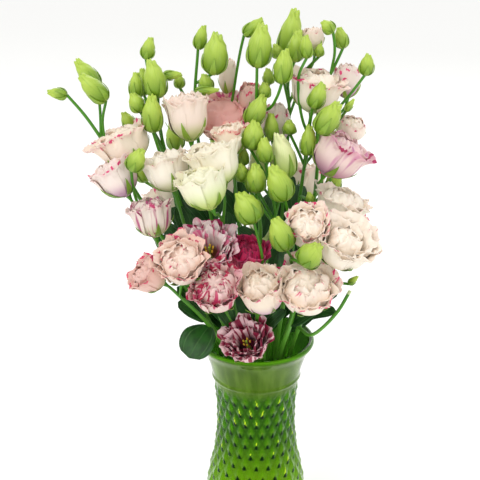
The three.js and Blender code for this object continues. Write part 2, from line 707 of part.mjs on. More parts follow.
// Bud: wrapped petals, fullest a third of the way up, twisted, with a blunt tip. Share of the
// length, share of the half width, and twist.
const BUD_RINGS = [
  [0.36, 1, 0.2],
  [0.74, 0.76, 0.45],
  [1, 0.24, 0.6],
];
const SMALL_BUD_RINGS = [
  [0.42, 1, 0.25],
  [1, 0.3, 0.6],
];
const BUD_SHOULDER = 0.4;
const LARGE_BUD = 12;

// Calyx: a small seat under the bloom, with pointed sepals spread below the petals where it shows.
const SEAT_LENGTH = 5;
const SEAT_RADIUS = 2.9;
const SEPALS = 5;
const SEPAL_ROOT = { low: -3.4, high: -1.7, inside: 0.8, outside: 1.8, halfAngle: 0.6 };
const SEPAL_TIP = { height: 0.14, radius: 0.62 };

// A grown piece's sharp tip moves out by this many times the growth, so that its sides clear too.
const TIP_GROWTH = 3;
const HIDDEN_CALYX_LEAN = 9;

function sidesOf({ head, fixed }) {
  if (head.bloom && fixed === 1) return BLOOM_STALK_SIDES;
  return head.bloom || head.radius < LARGE_BUD ? STALK_SIDES : BUD_SIDES;
}

// A stem or stalk with the bud or the seat at its end, in one piece.
function stalkSolid(route, grow) {
  const { head } = route;
  const points = route.points.map((p) => p.clone());
  const radii = routeRadii(route);
  const twists = points.map(() => 0);
  if (head.bloom) {
    const axis = head.tip.clone().sub(head.base).normalize();
    points.splice(-1, 0, points.at(-1).clone().addScaledVector(axis, -SEAT_LENGTH));
    radii.push(SEAT_RADIUS);
    points.at(-1).addScaledVector(axis, grow / 2);
  } else {
    radii[radii.length - 1] = Math.max(BUD_SHOULDER * head.radius, STALK_RADIUS);
    for (const [share, width, twist] of head.radius < LARGE_BUD ? SMALL_BUD_RINGS : BUD_RINGS) {
      points.push(along(head.base, head.tip, share));
      radii.push(head.radius * width);
      twists.push(twist);
    }
  }
  return tubeSolid(points, radii.map((r) => r + grow), sidesOf(route), twists);
}

// A bloom's own axes: along, and two across.
function axesOf(bloom) {
  const axis = bloom.tip.clone().sub(bloom.base).normalize();
  const side = new THREE.Vector3(0, 0, 1).cross(axis);
  if (side.length() < 0.1) side.set(1, 0, 0);
  side.normalize();
  return { axis, side, front: axis.clone().cross(side) };
}

// The point at a height on a bloom's axis, a radius and an angle.
function around(bloom, axes, height, radius, angle) {
  return bloom.base
    .clone()
    .addScaledVector(axes.axis, height)
    .addScaledVector(axes.side, radius * Math.cos(angle))
    .addScaledVector(axes.front, radius * Math.sin(angle));
}

function sepalSolids(bloom, grow) {
  const axes = axesOf(bloom);
  const length = bloom.base.distanceTo(bloom.tip);
  return Array.from({ length: SEPALS }, (_, k) => {
    const angle = (2 * Math.PI * (k + 0.5)) / SEPALS;
    const { low, high, inside, outside } = SEPAL_ROOT;
    const half = SEPAL_ROOT.halfAngle + grow;
    const height = SEPAL_TIP.height * length + grow;
    const reach = SEPAL_TIP.radius * bloom.radius + TIP_GROWTH * grow;
    return solidOf(
      tetrahedron([
        around(bloom, axes, low - grow, inside, angle),
        around(bloom, axes, high, outside, angle + half),
        around(bloom, axes, high, outside, angle - half),
        around(bloom, axes, height, reach, angle),
      ]),
    );
  });
}

function tetrahedron([a, b, c, d]) {
  const facing = b.clone().sub(a).cross(c.clone().sub(a)).dot(d.clone().sub(a)) > 0;
  const corners = facing ? [a, b, c, d] : [a, c, b, d];
  return new THREE.BufferGeometry()
    .setAttribute("position", new THREE.Float32BufferAttribute(corners.flatMap((p) => p.toArray()), 3))
    .setIndex([0, 2, 1, 0, 1, 3, 1, 2, 3, 2, 0, 3]);
}

function stemSolids(stem, grow) {
  const solids = stem.routes.map((route) => stalkSolid(route, grow));
  for (const head of stem.own) {
    const upright = head.bloom && head.lean > -HIDDEN_CALYX_LEAN;
    const calyxShows = upright && head.open !== TIGHT && head.base.y < 0;
    if (calyxShows) solids.push(...sepalSolids(head, grow));
  }
  if (stem.name === CUT_STALK.stem) {
    const route = CUT_STALK.route.map((pixel) => at(pixel, CUT_STALK.depth));
    route.unshift(pointOn(stem.routes[0].points.slice(MOUTH_POINT, FORK_POINT + 1), CUT_STALK.leave));
    solids.push(tubeSolid(route, route.map(() => CUT_STALK.radius + grow), STALK_SIDES));
  }
  return solids;
}

// Blades

// A blade over a grid of points, thick in the direction of its normals. Both faces are split into
// triangles alike. A row may be one point: the blade then starts or ends in a corner.
function bladeSolid(rows, thickness) {
  const columns = Math.max(...rows.map((row) => row.length));
  const point = (i, j) => rows[i][rows[i].length === 1 ? 0 : j];
  const normalAt = (i, j) => {
    const up = point(Math.min(i + 1, rows.length - 1), j).clone().sub(point(Math.max(i - 1, 0), j));
    const wide = rows[i].length === 1 ? Math.min(i + 1, rows.length - 1) : i;
    const row = rows[wide].length === 1 ? wide - 1 : wide;
    const across = point(row, Math.min(j + 1, columns - 1)).clone();
    across.sub(point(row, Math.max(j - 1, 0)));
    return across.cross(up).normalize();
  };
  const vertices = [];
  const indexOf = (i, j, side) => {
    const start = rows.slice(0, i).reduce((sum, row) => sum + row.length, 0);
    return 2 * (start + (rows[i].length === 1 ? 0 : j)) + side;
  };
  rows.forEach((row, i) => {
    row.forEach((p, j) => {
      const column = row.length === 1 ? Math.floor(columns / 2) : j;
      const offset = normalAt(i, column).multiplyScalar(thickness / 2);
      vertices.push(...p.clone().add(offset).toArray(), ...p.clone().sub(offset).toArray());
    });
  });
  const faces = [];
  const add = (a, b, c) => {
    if (a !== b && b !== c && a !== c) faces.push(a, b, c);
  };
  for (let i = 0; i + 1 < rows.length; i += 1) {
    for (let j = 0; j + 1 < columns; j += 1) {
      for (const side of [0, 1]) {
        const [a, b] = [indexOf(i, j, side), indexOf(i, j + 1, side)];
        const [c, d] = [indexOf(i + 1, j + 1, side), indexOf(i + 1, j, side)];
        if (side === 0) {
          add(a, b, c);
          add(a, c, d);
        } else {
          add(a, c, b);
          add(a, d, c);
        }
      }
    }
  }
  const rim = (i, j, k, l) => {
    const [a, b] = [indexOf(i, j, 0), indexOf(k, l, 0)];
    const [c, d] = [indexOf(k, l, 1), indexOf(i, j, 1)];
    if (a === b) return;
    faces.push(a, d, b, b, d, c);
  };
  for (let i = 0; i + 1 < rows.length; i += 1) {
    rim(i + 1, 0, i, 0);
    rim(i, columns - 1, i + 1, columns - 1);
  }
  for (let j = 0; j + 1 < columns; j += 1) {
    rim(0, j, 0, j + 1);
    rim(rows.length - 1, j + 1, rows.length - 1, j);
  }
  const geometry = new THREE.BufferGeometry()
    .setAttribute("position", new THREE.Float32BufferAttribute(vertices, 3))
    .setIndex(faces);
  return solidOf(geometry);
}

// Leaf: pointed at both ends, folded along its midrib and arched.
const LEAF_ROWS = [
  [0.3, 0.62],
  [0.68, 0.9],
];
const LEAF_FACING = new THREE.Vector3(0, -0.55, 0.85);
const LEAF_ARCH = 0.1;
const LEAF_FOLD = 0.2;
function leafSolid([name, base, baseDepth, tip, tipDepth, width], grow) {
  const trunk = stems.find((stem) => stem.name === name).routes[0].points.slice(MOUTH_POINT);
  const start = nearestOn(trunk, at(base, baseDepth));
  const end = at(tip, tipDepth);
  const axis = end.clone().sub(start).normalize();
  end.addScaledVector(axis, TIP_GROWTH * grow);
  const across = axis.clone().cross(LEAF_FACING).normalize();
  const face = across.clone().cross(axis).normalize();
  const arch = LEAF_ARCH * start.distanceTo(end);
  const row = ([share, size]) => {
    const rib = along(start, end, share).addScaledVector(face, arch * Math.sin(Math.PI * share));
    const half = (size * width) / 2 + grow;
    const fold = LEAF_FOLD * half;
    return [-1, 0, 1].map((side) =>
      rib.clone().addScaledVector(across, side * half).addScaledVector(face, Math.abs(side) * fold),
    );
  };
  return bladeSolid([[start], ...LEAF_ROWS.map(row), [end]], LEAF_THICKNESS + 2 * grow);
}

// Bloom: two whorls of broad petals round a small cup, in one surface from the base to the
// middle. In each whorl one edge of every petal lies over the next one. Heights are shares of the
// bloom's length, and radii are shares of its radius.
const BLOOM_FOOT_RADIUS = 0.1;
const BULB = { height: 0.4, radius: 0.84 };
const CUP_FLOOR = { height: 0.36, radius: 0.42 };
const INNER_WHORL = { petals: 3, radius: 0.54, top: 0.88, floor: 0.5 };
const COLUMNS_PER_PETAL = 3;
const SPIRAL_STEP = 0.05;
const PETAL_EDGE_TURN = 1.08;
const PETAL_THICKNESS = 0.9;
const RIM_DROP = 0.13;
function bloomSolid(bloom, grow) {
  const axes = axesOf(bloom);
  const length = bloom.base.distanceTo(bloom.tip);
  const columns = COLUMNS_PER_PETAL * bloom.outer;
  // A ring of a whorl: its height, radius, how strongly its petals step, and how far its edges drop.
  const ring = (height, radius, petals = bloom.outer, step = 0, drop = 0) =>
    Array.from({ length: columns }, (_, i) => {
      const perPetal = columns / petals;
      const petal = Math.floor(i / perPetal);
      const side = (2 * (i % perPetal)) / (perPetal - 1) - 1;
      const half = (Math.PI / petals) * (step ? PETAL_EDGE_TURN : 1 - 1 / perPetal);
      const angle = (2 * Math.PI * (petal + 0.5)) / petals + side * half;
      const wave = drop && petal % 2 ? 0.5 : 1;
      const up = height - drop * side * side * wave;
      return around(bloom, axes, up * length, bloom.radius * radius * (1 + step * side) + grow, angle);
    });
  const sections = [ring(-grow / length, BLOOM_FOOT_RADIUS)];
  if (grow) {
    // The room that the bloom keeps clear: a plain cup round all its petals.
    const full = (1 + SPIRAL_STEP) / Math.cos(Math.PI / columns);
    const top = 1 + grow / length;
    sections.push(
      ring(BULB.height, BULB.radius * full),
      ring(top - RIM_DROP, full),
      ring(top, full),
      ring(top, -grow / bloom.radius),
    );
  } else {
    const thin = PETAL_THICKNESS / bloom.radius;
    sections.push(
      ring(BULB.height, BULB.radius, bloom.outer, SPIRAL_STEP),
      ring(1, 1, bloom.outer, SPIRAL_STEP, RIM_DROP),
      ring(1, 1 - SPIRAL_STEP - thin, bloom.outer, 0, RIM_DROP),
      ring(CUP_FLOOR.height, CUP_FLOOR.radius),
    );
    if (bloom.open === WIDE) {
      const { petals, radius, top, floor } = INNER_WHORL;
      const step = SPIRAL_STEP * 2;
      sections.push(
        ring(top, radius, petals, step, RIM_DROP),
        ring(top, radius * (1 - step) - thin, petals, 0, RIM_DROP),
        ring(floor, 0),
      );
    } else {
      sections.push(ring(CUP_FLOOR.height, 0));
    }
  }
  return solidOf(new LoftGeometry(sections, { capStart: true }));
}

// Assembly

const crossing = (one, two) => {
  const [a, b] = [one.boundingBox(), two.boundingBox()];
  return [0, 1, 2].every((k) => a.min[k] < b.max[k] && b.min[k] < a.max[k]);
};

// Cuts a solid back from others that pass through it, and keeps its largest piece.
function cutClear(solid, others = []) {
  const near = others.filter((other) => crossing(solid, other));
  const left = near.reduce((rest, other) => rest.subtract(other), solid);
  const pieces = left.decompose();
  return pieces.reduce((most, piece) => (piece.volume() > most.volume() ? piece : most), pieces[0]);
}

// Water, with a hole for each stem that runs a little past both of its faces.
const HOLE_OVERRUN = 0.05;
function waterSolid() {
  const water = new RingSurface();
  const levels = INSIDE_LEVELS.filter((z) => z <= WATER_LEVEL);
  const rings = levels.map((z) => {
    const height = z === GLASS_FLOOR ? z + GAP : z;
    return water.ring(height, insideRadius(z) - GAP, DIAMONDS_AROUND);
  });
  water.cap(rings[0], GLASS_FLOOR + GAP, false);
  rings.slice(1).forEach((ring, i) => water.band(rings[i], ring));
  water.cap(rings.at(-1), WATER_LEVEL, true);
  const holes = stems.map((stem) => {
    const [foot, waist] = stem.routes[0].points;
    const run = waist.clone().sub(foot);
    const shares = [-HOLE_OVERRUN, 1 + HOLE_OVERRUN];
    const ends = shares.map((share) => foot.clone().addScaledVector(run, share));
    return tubeSolid(ends, ends.map(() => STEM_RADIUS + GAP), sidesOf(stem.routes[0]));
  });
  return water.solid().subtract(wasm.Manifold.union(holes));
}

const bouquet = new THREE.Group();
bouquet.add(meshOf(vaseSolid(), "vase", GLASS_GREEN, 0.08));
bouquet.add(meshOf(waterSolid(), "water", WATER_TINT, 0.05));

const grownStems = stems.map((stem) => wasm.Manifold.union(stemSolids(stem, GAP)));
const grownLeaves = [];
const leafyStems = stems.map((stem, i) => {
  const others = grownStems.filter((_, k) => k !== i);
  const leaves = LEAVES.filter(([name]) => name === stem.name).map((leaf) => {
    const blade = cutClear(leafSolid(leaf, 0), [...others, ...grownLeaves]);
    return { blade, grown: leafSolid(leaf, GAP) };
  });
  grownLeaves.push(...leaves.map(({ grown }) => grown));
  const whole = wasm.Manifold.union([...stemSolids(stem, 0), ...leaves.map(({ blade }) => blade)]);
  return cutClear(whole);
});
leafyStems.forEach((solid, i) => {
  bouquet.add(meshOf(solid, `leafy_stem_${stems[i].name.slice(1)}`, GREEN, 0.6));
});

const clearStems = stems.map((stem) => wasm.Manifold.union(stemSolids(stem, BLOOM_CLEARANCE)));
const grownBlooms = [];
for (const bloom of blooms) {
  const others = [...clearStems, ...leafyStems, ...grownLeaves, ...grownBlooms];
  const solid = cutClear(bloomSolid(bloom, 0), others);
  grownBlooms.push(bloomSolid(bloom, BLOOM_CLEARANCE));
  bouquet.add(meshOf(solid, bloom.name, bloom.color, 0.7));
}

export default bouquet;
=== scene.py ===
import math

import bpy
import numpy as np
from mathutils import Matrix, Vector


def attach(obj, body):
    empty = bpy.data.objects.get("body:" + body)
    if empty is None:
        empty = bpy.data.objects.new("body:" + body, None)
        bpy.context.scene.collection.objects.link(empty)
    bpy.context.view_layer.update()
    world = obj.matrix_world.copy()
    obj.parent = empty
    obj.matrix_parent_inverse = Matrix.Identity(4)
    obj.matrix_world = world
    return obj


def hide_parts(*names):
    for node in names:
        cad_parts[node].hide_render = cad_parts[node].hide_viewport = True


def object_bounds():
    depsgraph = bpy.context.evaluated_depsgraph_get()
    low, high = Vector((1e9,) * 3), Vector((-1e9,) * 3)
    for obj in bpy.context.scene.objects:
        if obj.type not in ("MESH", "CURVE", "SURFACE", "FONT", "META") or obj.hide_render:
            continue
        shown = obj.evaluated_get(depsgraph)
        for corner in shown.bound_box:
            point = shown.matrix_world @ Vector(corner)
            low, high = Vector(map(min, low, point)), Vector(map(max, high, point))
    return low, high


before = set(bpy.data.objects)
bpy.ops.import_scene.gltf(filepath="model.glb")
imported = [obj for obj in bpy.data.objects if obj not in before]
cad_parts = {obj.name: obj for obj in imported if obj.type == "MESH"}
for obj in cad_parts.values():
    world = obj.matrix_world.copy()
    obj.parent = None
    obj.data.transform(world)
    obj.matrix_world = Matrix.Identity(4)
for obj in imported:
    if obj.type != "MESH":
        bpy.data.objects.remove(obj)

cad_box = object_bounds()
MM = 0.001
# No point of a finished piece passes the solid model's box.
BOX_LOW, BOX_HIGH = (np.array(corner) / MM for corner in cad_box)

# Where the bouquet is seen from. A head's place is the pixel where it shows in a picture of 480 by
# 480 pixels, together with its depth: its distance behind the vase's axis.
EYE = np.array([-17.0, -1110.0, 790.0])
EYE_PITCH = math.radians(21.3)
FOCAL_PIXELS = 1185
PICTURE_SIZE = 480
AHEAD = np.array([0.0, math.cos(EYE_PITCH), -math.sin(EYE_PITCH)])
UPWARD = np.array([0.0, math.sin(EYE_PITCH), math.cos(EYE_PITCH)])


def at(pixel, depth):
    """The point at a depth that shows at a pixel."""
    ray = AHEAD * FOCAL_PIXELS + UPWARD * (PICTURE_SIZE / 2 - pixel[1])
    ray[0] += pixel[0] - PICTURE_SIZE / 2
    return EYE + ray * (depth - EYE[1]) / ray[1]


# Vase: the outside radius at each height, from the foot over the bulb and the waist to the rim.
VASE_OUTLINE = [
    (0, 45), (26, 51.5), (58, 53.5), (90, 50.5), (122, 44),
    (156, 41), (190, 42.6), (217, 47), (236, 53.5), (246, 60),
]
VASE_HEIGHT = 250
LIP_RADIUS = 58
LIP_WIDTH = 3.5
LIP_ROUNDING = 2.5
GLASS_WALL = 4.5
GLASS_FLOOR = 10
FLOOR_ROUNDING = 4
FOOT_EDGE = 3
DIAMONDS_AROUND = 22
RELIEF_FROM = 26
RELIEF_TO = 206
RELIEF_ROWS = 15
DIAMOND_HEIGHT = 1.1
RAISED_LINE_ABOVE = 2.5
RAISED_LINE_HEIGHT = 1.4
WATER_LEVEL = 150
# Room between the floor of the vase and the stems that stand on it.
GAP = 0.35

STEM_RADIUS = 2.6
MOUTH_STEM_RADIUS = 2.4
FORK_STEM_RADIUS = 2
STALK_RADIUS = 1.45
STALK_SPACING = 1.2
# The stems cross in the vase. At its waist and its foot, their places in the mouth are drawn in to
# these shares and turned by these degrees.
WAIST_SQUEEZE = 0.62
WAIST_TURN = 18
FOOT_SPREAD = 0.72
FOOT_TURN = 50
MOUTH_LEVEL = 251

# Stems: the place in the vase's mouth, and the fork as pixel and depth.
STEMS = {
    "s01": ((-42, -2), (168, 240), -10),
    "s02": ((-36, -19), (170, 264), -44),
    "s03": ((-27, -12), (184, 240), -32),
    "s04": ((-32, 12), (182, 218), 12),
    "s05": ((-27, -32), (194, 303), -58),
    "s06": ((-19, 3), (206, 218), 6),
    "s07": ((-14, -24), (214, 256), -42),
    "s08": ((-10, -39), (219, 312), -62),
    "s09": ((-8, 15), (236, 205), 24),
    "s10": ((5, 1), (262, 220), 4),
    "s11": ((15, 15), (287, 205), 20),
    "s12": ((22, -5), (299, 220), -10),
    "s13": ((33, 9), (316, 225), 16),
    "s14": ((38, -13), (318, 284), -34),
    "s15": ((25, -31), (301, 312), -58),
    "s16": ((6, -41), (262, 308), -60),
    "s17": ((3, -18), (258, 240), -26),
    "s18": ((-20, 28), (206, 245), 52),
    "s19": ((2, 37), (250, 240), 64),
    "s20": ((24, 29), (300, 245), 52),
}

# Blooms: stem, base pixel, mouth pixel, depth of the base, how far the mouth leans to the front
# (negative) or back, mouth radius, petals in the outer whorl, how far it has opened, finish of its
# petals, and where the stalk leaves the stem between its fork (0) and its top (1).
TIGHT, HALF, WIDE = 1, 2, 3
BLOOMS = [
    ("s01", (136, 160), (118, 127), -12, 2, 27, 5, WIDE, "blush", 0.5),
    ("s02", (128, 195), (106, 161), -42, 2, 21, 5, HALF, "lilac_blush", 1),
    ("s06", (190, 140), (183, 91), -20, 8, 21, 5, HALF, "beige", 0.4),
    ("s03", (172, 190), (158, 151), -50, 4, 22, 5, HALF, "oyster", 1),
    ("s09", (224, 130), (221, 108), 12, -20, 24, 5, WIDE, "rose", 0.3),
    ("s09", (232, 150), (226, 120), -14, 0, 17, 4, HALF, "salmon_edged", 0.1),
    ("s07", (225, 184), (213, 142), -48, 6, 24, 5, WIDE, "cream", 1),
    ("s11", (314, 50), (312, 27), 38, 0, 11, 4, TIGHT, "beige", 0.7),
    ("s12", (310, 108), (318, 67), -2, 0, 25, 5, WIDE, "pink_tipped", 1),
    ("s13", (346, 98), (347, 63), 26, 0, 14, 4, TIGHT, "lilac_blush", 0.5),
    ("s10", (276, 142), (275, 103), 24, -4, 15, 4, TIGHT, "lilac_blush", 0.3),
    ("s13", (328, 179), (351, 142), -22, 0, 27, 5, WIDE, "lilac", 0.2),
    ("s13", (348, 138), (354, 119), 24, -6, 15, 4, TIGHT, "pink_tipped", 0.4),
    ("s09", (250, 112), (251, 84), 32, -4, 12, 4, TIGHT, "shell_pink", 0.5),
    ("s02", (156, 236), (148, 198), -62, 2, 20, 5, HALF, "streaked", 0.2),
    ("s07", (212, 208), (195, 168), -82, 0, 23, 5, HALF, "green_cream", 0.6),
    ("s14", (330, 224), (344, 186), -26, 0, 26, 5, WIDE, "oyster", 1),
    ("s05", (163, 283), (138, 268), -72, -8, 19, 5, HALF, "shell_pink", 1),
    ("s05", (184, 274), (178, 254), -84, -28, 22, 5, WIDE, "rosette_pink", 0.6),
    ("s08", (211, 262), (208, 239), -54, -26, 25, 5, WIDE, "striped", 1),
    ("s08", (222, 302), (217, 279), -84, -28, 23, 5, WIDE, "crimson_flecked", 0.4),
    ("s16", (247, 279), (247, 243), -52, -12, 19, 5, WIDE, "magenta", 1),
    ("s16", (264, 309), (252, 277), -84, -18, 22, 5, HALF, "lilac_cream", 0.3),
    ("s15", (304, 245), (308, 221), -76, -24, 20, 5, HALF, "pink_tipped", 1),
    ("s14", (336, 262), (350, 231), -72, -14, 28, 5, WIDE, "warm_cream", 0.3),
    ("s15", (306, 301), (308, 279), -76, -28, 27, 5, WIDE, "pink_tipped", 0.3),
    ("s16", (250, 350), (244, 336), -52, -20, 22.5, 5, WIDE, "burgundy", 0.1),
    ("s09", (227, 96), (227, 60), 30, 0, 9, 4, TIGHT, "beige", 1),
    ("s18", (170, 215), (158, 182), 62, 12, 25, 4, HALF, "blush", 0.4),
    ("s18", (205, 190), (198, 152), 92, 10, 25, 4, HALF, "cream", 1),
    ("s19", (240, 205), (236, 165), 92, 14, 25, 4, HALF, "pink_tipped", 1),
    ("s19", (268, 245), (270, 212), 98, 26, 24, 4, HALF, "cream", 0.3),
    ("s20", (300, 200), (306, 161), 72, 10, 25, 4, HALF, "blush", 1),
    ("s20", (334, 230), (350, 205), 50, 10, 24, 4, HALF, "pink_tipped", 0.3),
    ("s18", (190, 262), (176, 238), 58, 26, 23, 4, HALF, "blush", 0.1),
]

# Buds: stem, tip pixel, base pixel, width, depth, where the stalk leaves the stem, the pixels that
# the stalk passes where it shows, and how ripe the bud is: 0 lime green, 1 nearly white.
BUDS = [
    ("s01", (47, 92), (67, 95), 11, 10, 1, ((80, 99), (94, 117), (112, 146)), 0),
    ("s01", (80, 75), (106, 101), 19, -2, 0.7, ((116, 122),), 0),
    ("s01", (76, 60), (98, 88), 17, 20, 0.75, (), 0),
    ("s01", (122, 112), (131, 130), 13, 8, 0.5, (), 0),
    ("s04", (151, 37), (146, 59), 13, 12, 1, (), 0),
    ("s04", (151, 60), (158, 98), 21, -10, 0.6, (), 0),
    ("s04", (136, 72), (137, 98), 14, 4, 0.5, (), 0),
    ("s04", (142, 68), (144, 95), 12, 24, 0.7, (), 0),
    ("s04", (182, 74), (163, 76), 9, 6, 0.8, (), 0),
    ("s04", (131, 95), (139, 114), 15, -10, 0.4, (), 0),
    ("s03", (155, 95), (156, 131), 20, -20, 0.4, ((160, 146),), 0),
    ("s06", (178, 73), (180, 88), 10, 24, 0.7, (), 0),
    ("s06", (205, 75), (208, 92), 14, 12, 0.6, (), 0),
    ("s06", (219, 93), (195, 94), 8, 0, 0.5, (), 0),
    ("s06", (218, 33), (213, 74), 24, 0, 0.9, ((215, 92),), 0.35),
    ("s06", (204, 25), (198, 49), 12, 24, 1, (), 0),
    ("s09", (263, 19), (244, 35), 12, 12, 0.9, ((238, 45), (237, 62), (238, 80)), 0),
    ("s10", (263, 24), (257, 67), 23, -10, 1, (), 0.3),
    ("s11", (296, 9), (285, 60), 22, 32, 1, (), 0.2),
    ("s11", (301, 33), (297, 64), 17, 6, 0.9, (), 0),
    ("s11", (275, 44), (279, 58), 11, 16, 0.8, (), 0),
    ("s12", (306, 36), (307, 59), 12, -8, 0.9, ((306, 75), (301, 93), (297, 112), (295, 135)), 0),
    ("s13", (322, 21), (333, 32), 12, 12, 0.9, ((340, 43), (339, 58), (335, 76)), 0),
    ("s13", (339, 27), (343, 48), 13, 28, 1, (), 0),
    ("s11", (320, 44), (319, 57), 9, 22, 0.8, (), 0),
    ("s10", (285, 49), (282, 83), 18, -22, 0.8, ((281, 108), (278, 132)), 0),
    ("s10", (268, 68), (269, 84), 11, 18, 0.7, (), 0),
    ("s10", (265, 82), (264, 98), 13, 0, 0.6, (), 0),
    ("s10", (261, 97), (246, 126), 19, -16, 0.5, (), 0),
    ("s17", (257, 121), (251, 149), 21, -36, 0.8, (), 0),
    ("s17", (271, 113), (272, 140), 14, -6, 0.9, (), 0),
    ("s17", (263, 137), (265, 162), 15, -44, 0.6, ((264, 176),), 0.1),
    ("s12", (289, 120), (290, 134), 13, -2, 0.6, (), 0),
    ("s12", (323, 83), (312, 108), 16, -18, 0.8, ((306, 130),), 0),
    ("s12", (339, 103), (319, 133), 22, -42, 0.6, ((315, 153),), 0.1),
    ("s14", (369, 54), (365, 75), 14, 0, 0.55, ((356, 90), (344, 108), (332, 136), (327, 178)), 0),
    ("s13", (354, 99), (346, 111), 6, -12, 0.6, (), 0),
    ("s12", (310, 125), (307, 155), 15, -24, 0.5, (), 0),
    ("s02", (144, 150), (133, 171), 17, -58, 0.6, ((136, 185),), 0),
    ("s17", (243, 147), (243, 165), 11, -22, 0.5, (), 0),
    ("s17", (239, 163), (243, 181), 13, -52, 0.45, (), 0),
    ("s17", (279, 133), (286, 178), 24, -32, 1, (), 0.85),
    ("s17", (258, 147), (259, 182), 18, -12, 0.7, (), 0.7),
    ("s16", (256, 164), (256, 192), 19, -60, 0.8, (), 0.05),
    ("s15", (273, 166), (285, 200), 23, -74, 0.8, ((283, 216),), 0.1),
    ("s16", (240, 192), (254, 222), 25, -82, 0.6, (), 0.1),
    ("s12", (309, 192), (311, 203), 8, -32, 0.3, (), 0),
    ("s15", (277, 216), (289, 248), 22, -90, 0.6, ((284, 268),), 0.1),
    ("s15", (318, 242), (301, 262), 23, -102, 0.4, ((286, 276),), 0.05),
    ("s14", (379, 245), (361, 256), 7, -48, 0.35, ((346, 267), (337, 280)), 0),
    ("s14", (358, 276), (349, 284), 6, -58, 0.1, (), 0),
    ("s18", (140, 158), (148, 184), 17, 78, 0.6, (), 0),
    ("s18", (172, 122), (177, 150), 18, 72, 0.5, (), 0),
    ("s19", (212, 126), (219, 154), 18, 100, 0.5, (), 0),
    ("s19", (256, 140), (255, 170), 19, 106, 0.5, (), 0),
    ("s19", (272, 108), (270, 136), 17, 78, 0.5, (), 0),
    ("s20", (328, 126), (323, 154), 18, 84, 0.8, (), 0),
    ("s20", (338, 168), (330, 194), 17, 84, 0.5, (), 0),
    ("s19", (300, 225), (292, 250), 18, 104, 0.2, (), 0),
    ("s19", (226, 238), (232, 264), 18, 104, 0.2, (), 0),
]

# A stalk that was cut: it shows as a pale stick beside the rim, on the last stem to the right.
CUT_STALK = {"stem": "s14", "leave": 0.25, "depth": -52, "radius": 1.8,
             "route": ((314, 334), (338, 311), (350, 291))}

# Leaves: stem, base pixel and depth, tip pixel and depth, width.
LEAVES = [
    ("s05", (212, 326), -48, (189, 358), -72, 38),
    ("s02", (206, 316), -30, (177, 287), -34, 19),
    ("s03", (197, 238), -30, (178, 206), -24, 17),
    ("s14", (321, 316), -20, (338, 293), -26, 12),
    ("s14", (308, 326), -26, (336, 311), -34, 16),
    ("s16", (272, 336), -44, (286, 310), -58, 14),
    ("s08", (226, 330), -46, (216, 303), -52, 20),
    ("s01", (184, 262), -10, (158, 236), 10, 19),
    ("s04", (190, 240), 10, (170, 208), 26, 18),
    ("s18", (212, 260), 46, (196, 222), 82, 20),
    ("s19", (252, 268), 52, (274, 250), 88, 22),
    ("s20", (296, 262), 44, (322, 240), 66, 22),
    ("s13", (310, 256), 12, (338, 232), 20, 18),
    ("s17", (257, 256), -24, (238, 228), -34, 16),
    ("s12", (296, 244), -8, (316, 216), -14, 16),
    ("s18", (222, 300), 30, (198, 264), 52, 28),
    ("s07", (216, 262), -42, (228, 212), -38, 20),
    ("s19", (247, 308), 36, (230, 266), 48, 30),
    ("s12", (291, 282), -8, (283, 244), -12, 20),
    ("s20", (276, 318), 26, (294, 276), 40, 30),
    ("s15", (300, 334), -52, (318, 306), -46, 22),
    ("s05", (206, 322), -50, (178, 302), -50, 20),
    ("s13", (290, 312), 6, (314, 272), 12, 24),
    ("s13", (303, 340), 8, (316, 306), 22, 24),
    ("s11", (281, 340), 12, (276, 300), 24, 26),
]
# Leaves deep in the bunch, which fill its dark middle. The solid model has no triangles left for them.
INNER_LEAVES = [
    ("s06", (206, 236), 8, (184, 198), 22, 20),
    ("s09", (238, 222), 28, (218, 190), 40, 22),
    ("s10", (260, 236), 12, (272, 194), 32, 20),
    ("s10", (262, 288), 4, (274, 246), 18, 20),
    ("s09", (248, 332), 14, (238, 284), 22, 26),
    ("s06", (226, 332), 0, (208, 300), 8, 24),
    ("s04", (221, 330), 12, (204, 299), 20, 22),
    ("s06", (210, 224), 8, (220, 190), 20, 18),
    ("s03", (192, 256), -16, (162, 224), -6, 18),
    ("s12", (297, 228), 14, (300, 184), 30, 20),
    ("s11", (284, 222), 26, (290, 174), 42, 20),
    ("s09", (240, 212), 32, (246, 170), 46, 18),
    ("s20", (300, 262), 48, (318, 218), 62, 22),
    ("s06", (205, 220), 14, (200, 178), 26, 18),
    ("s04", (186, 232), 16, (178, 186), 30, 18),
    ("s19", (252, 300), 40, (262, 262), 54, 24),
    ("s18", (212, 290), 34, (188, 262), 50, 22),
    ("s13", (296, 300), 10, (306, 262), 26, 22),
    ("s11", (287, 300), 18, (292, 256), 34, 22),
    ("s13", (314, 232), 20, (326, 200), 34, 18),
]


# Layout: the same steps as in the solid model, so that each piece lies where its solid does.

def length_of(vectors):
    return np.linalg.norm(vectors, axis=-1)


def unit(vector):
    return vector / np.linalg.norm(vector)


def mixed(a, b, share):
    """The points at a share of the way from a to b."""
    return a + (b - a) * np.asarray(share)[..., None]


def pairs_of(rows, columns):
    """Every row number with every column number."""
    return (grid.ravel() for grid in np.meshgrid(np.arange(rows), np.arange(columns), indexing="ij"))


def heads_of_the_bunch():
    """The blooms and then the buds, each with its base and tip as points."""
    heads = []
    for i, (stem, base, mouth, depth, lean, radius, outer, opened, finish, leave) in enumerate(BLOOMS):
        heads.append({"bloom": True, "name": f"bloom_{i + 1:02d}", "stem": stem,
                      "base": at(base, depth), "tip": at(mouth, depth + lean), "lean": lean,
                      "radius": radius, "outer": outer, "opened": opened, "finish": finish,
                      "leave": leave, "via": ()})
    for stem, tip, base, width, depth, leave, via, ripe in BUDS:
        heads.append({"bloom": False, "stem": stem, "base": at(base, depth), "tip": at(tip, depth),
                      "radius": width / 2, "leave": leave, "via": via, "ripe": ripe})
    return heads


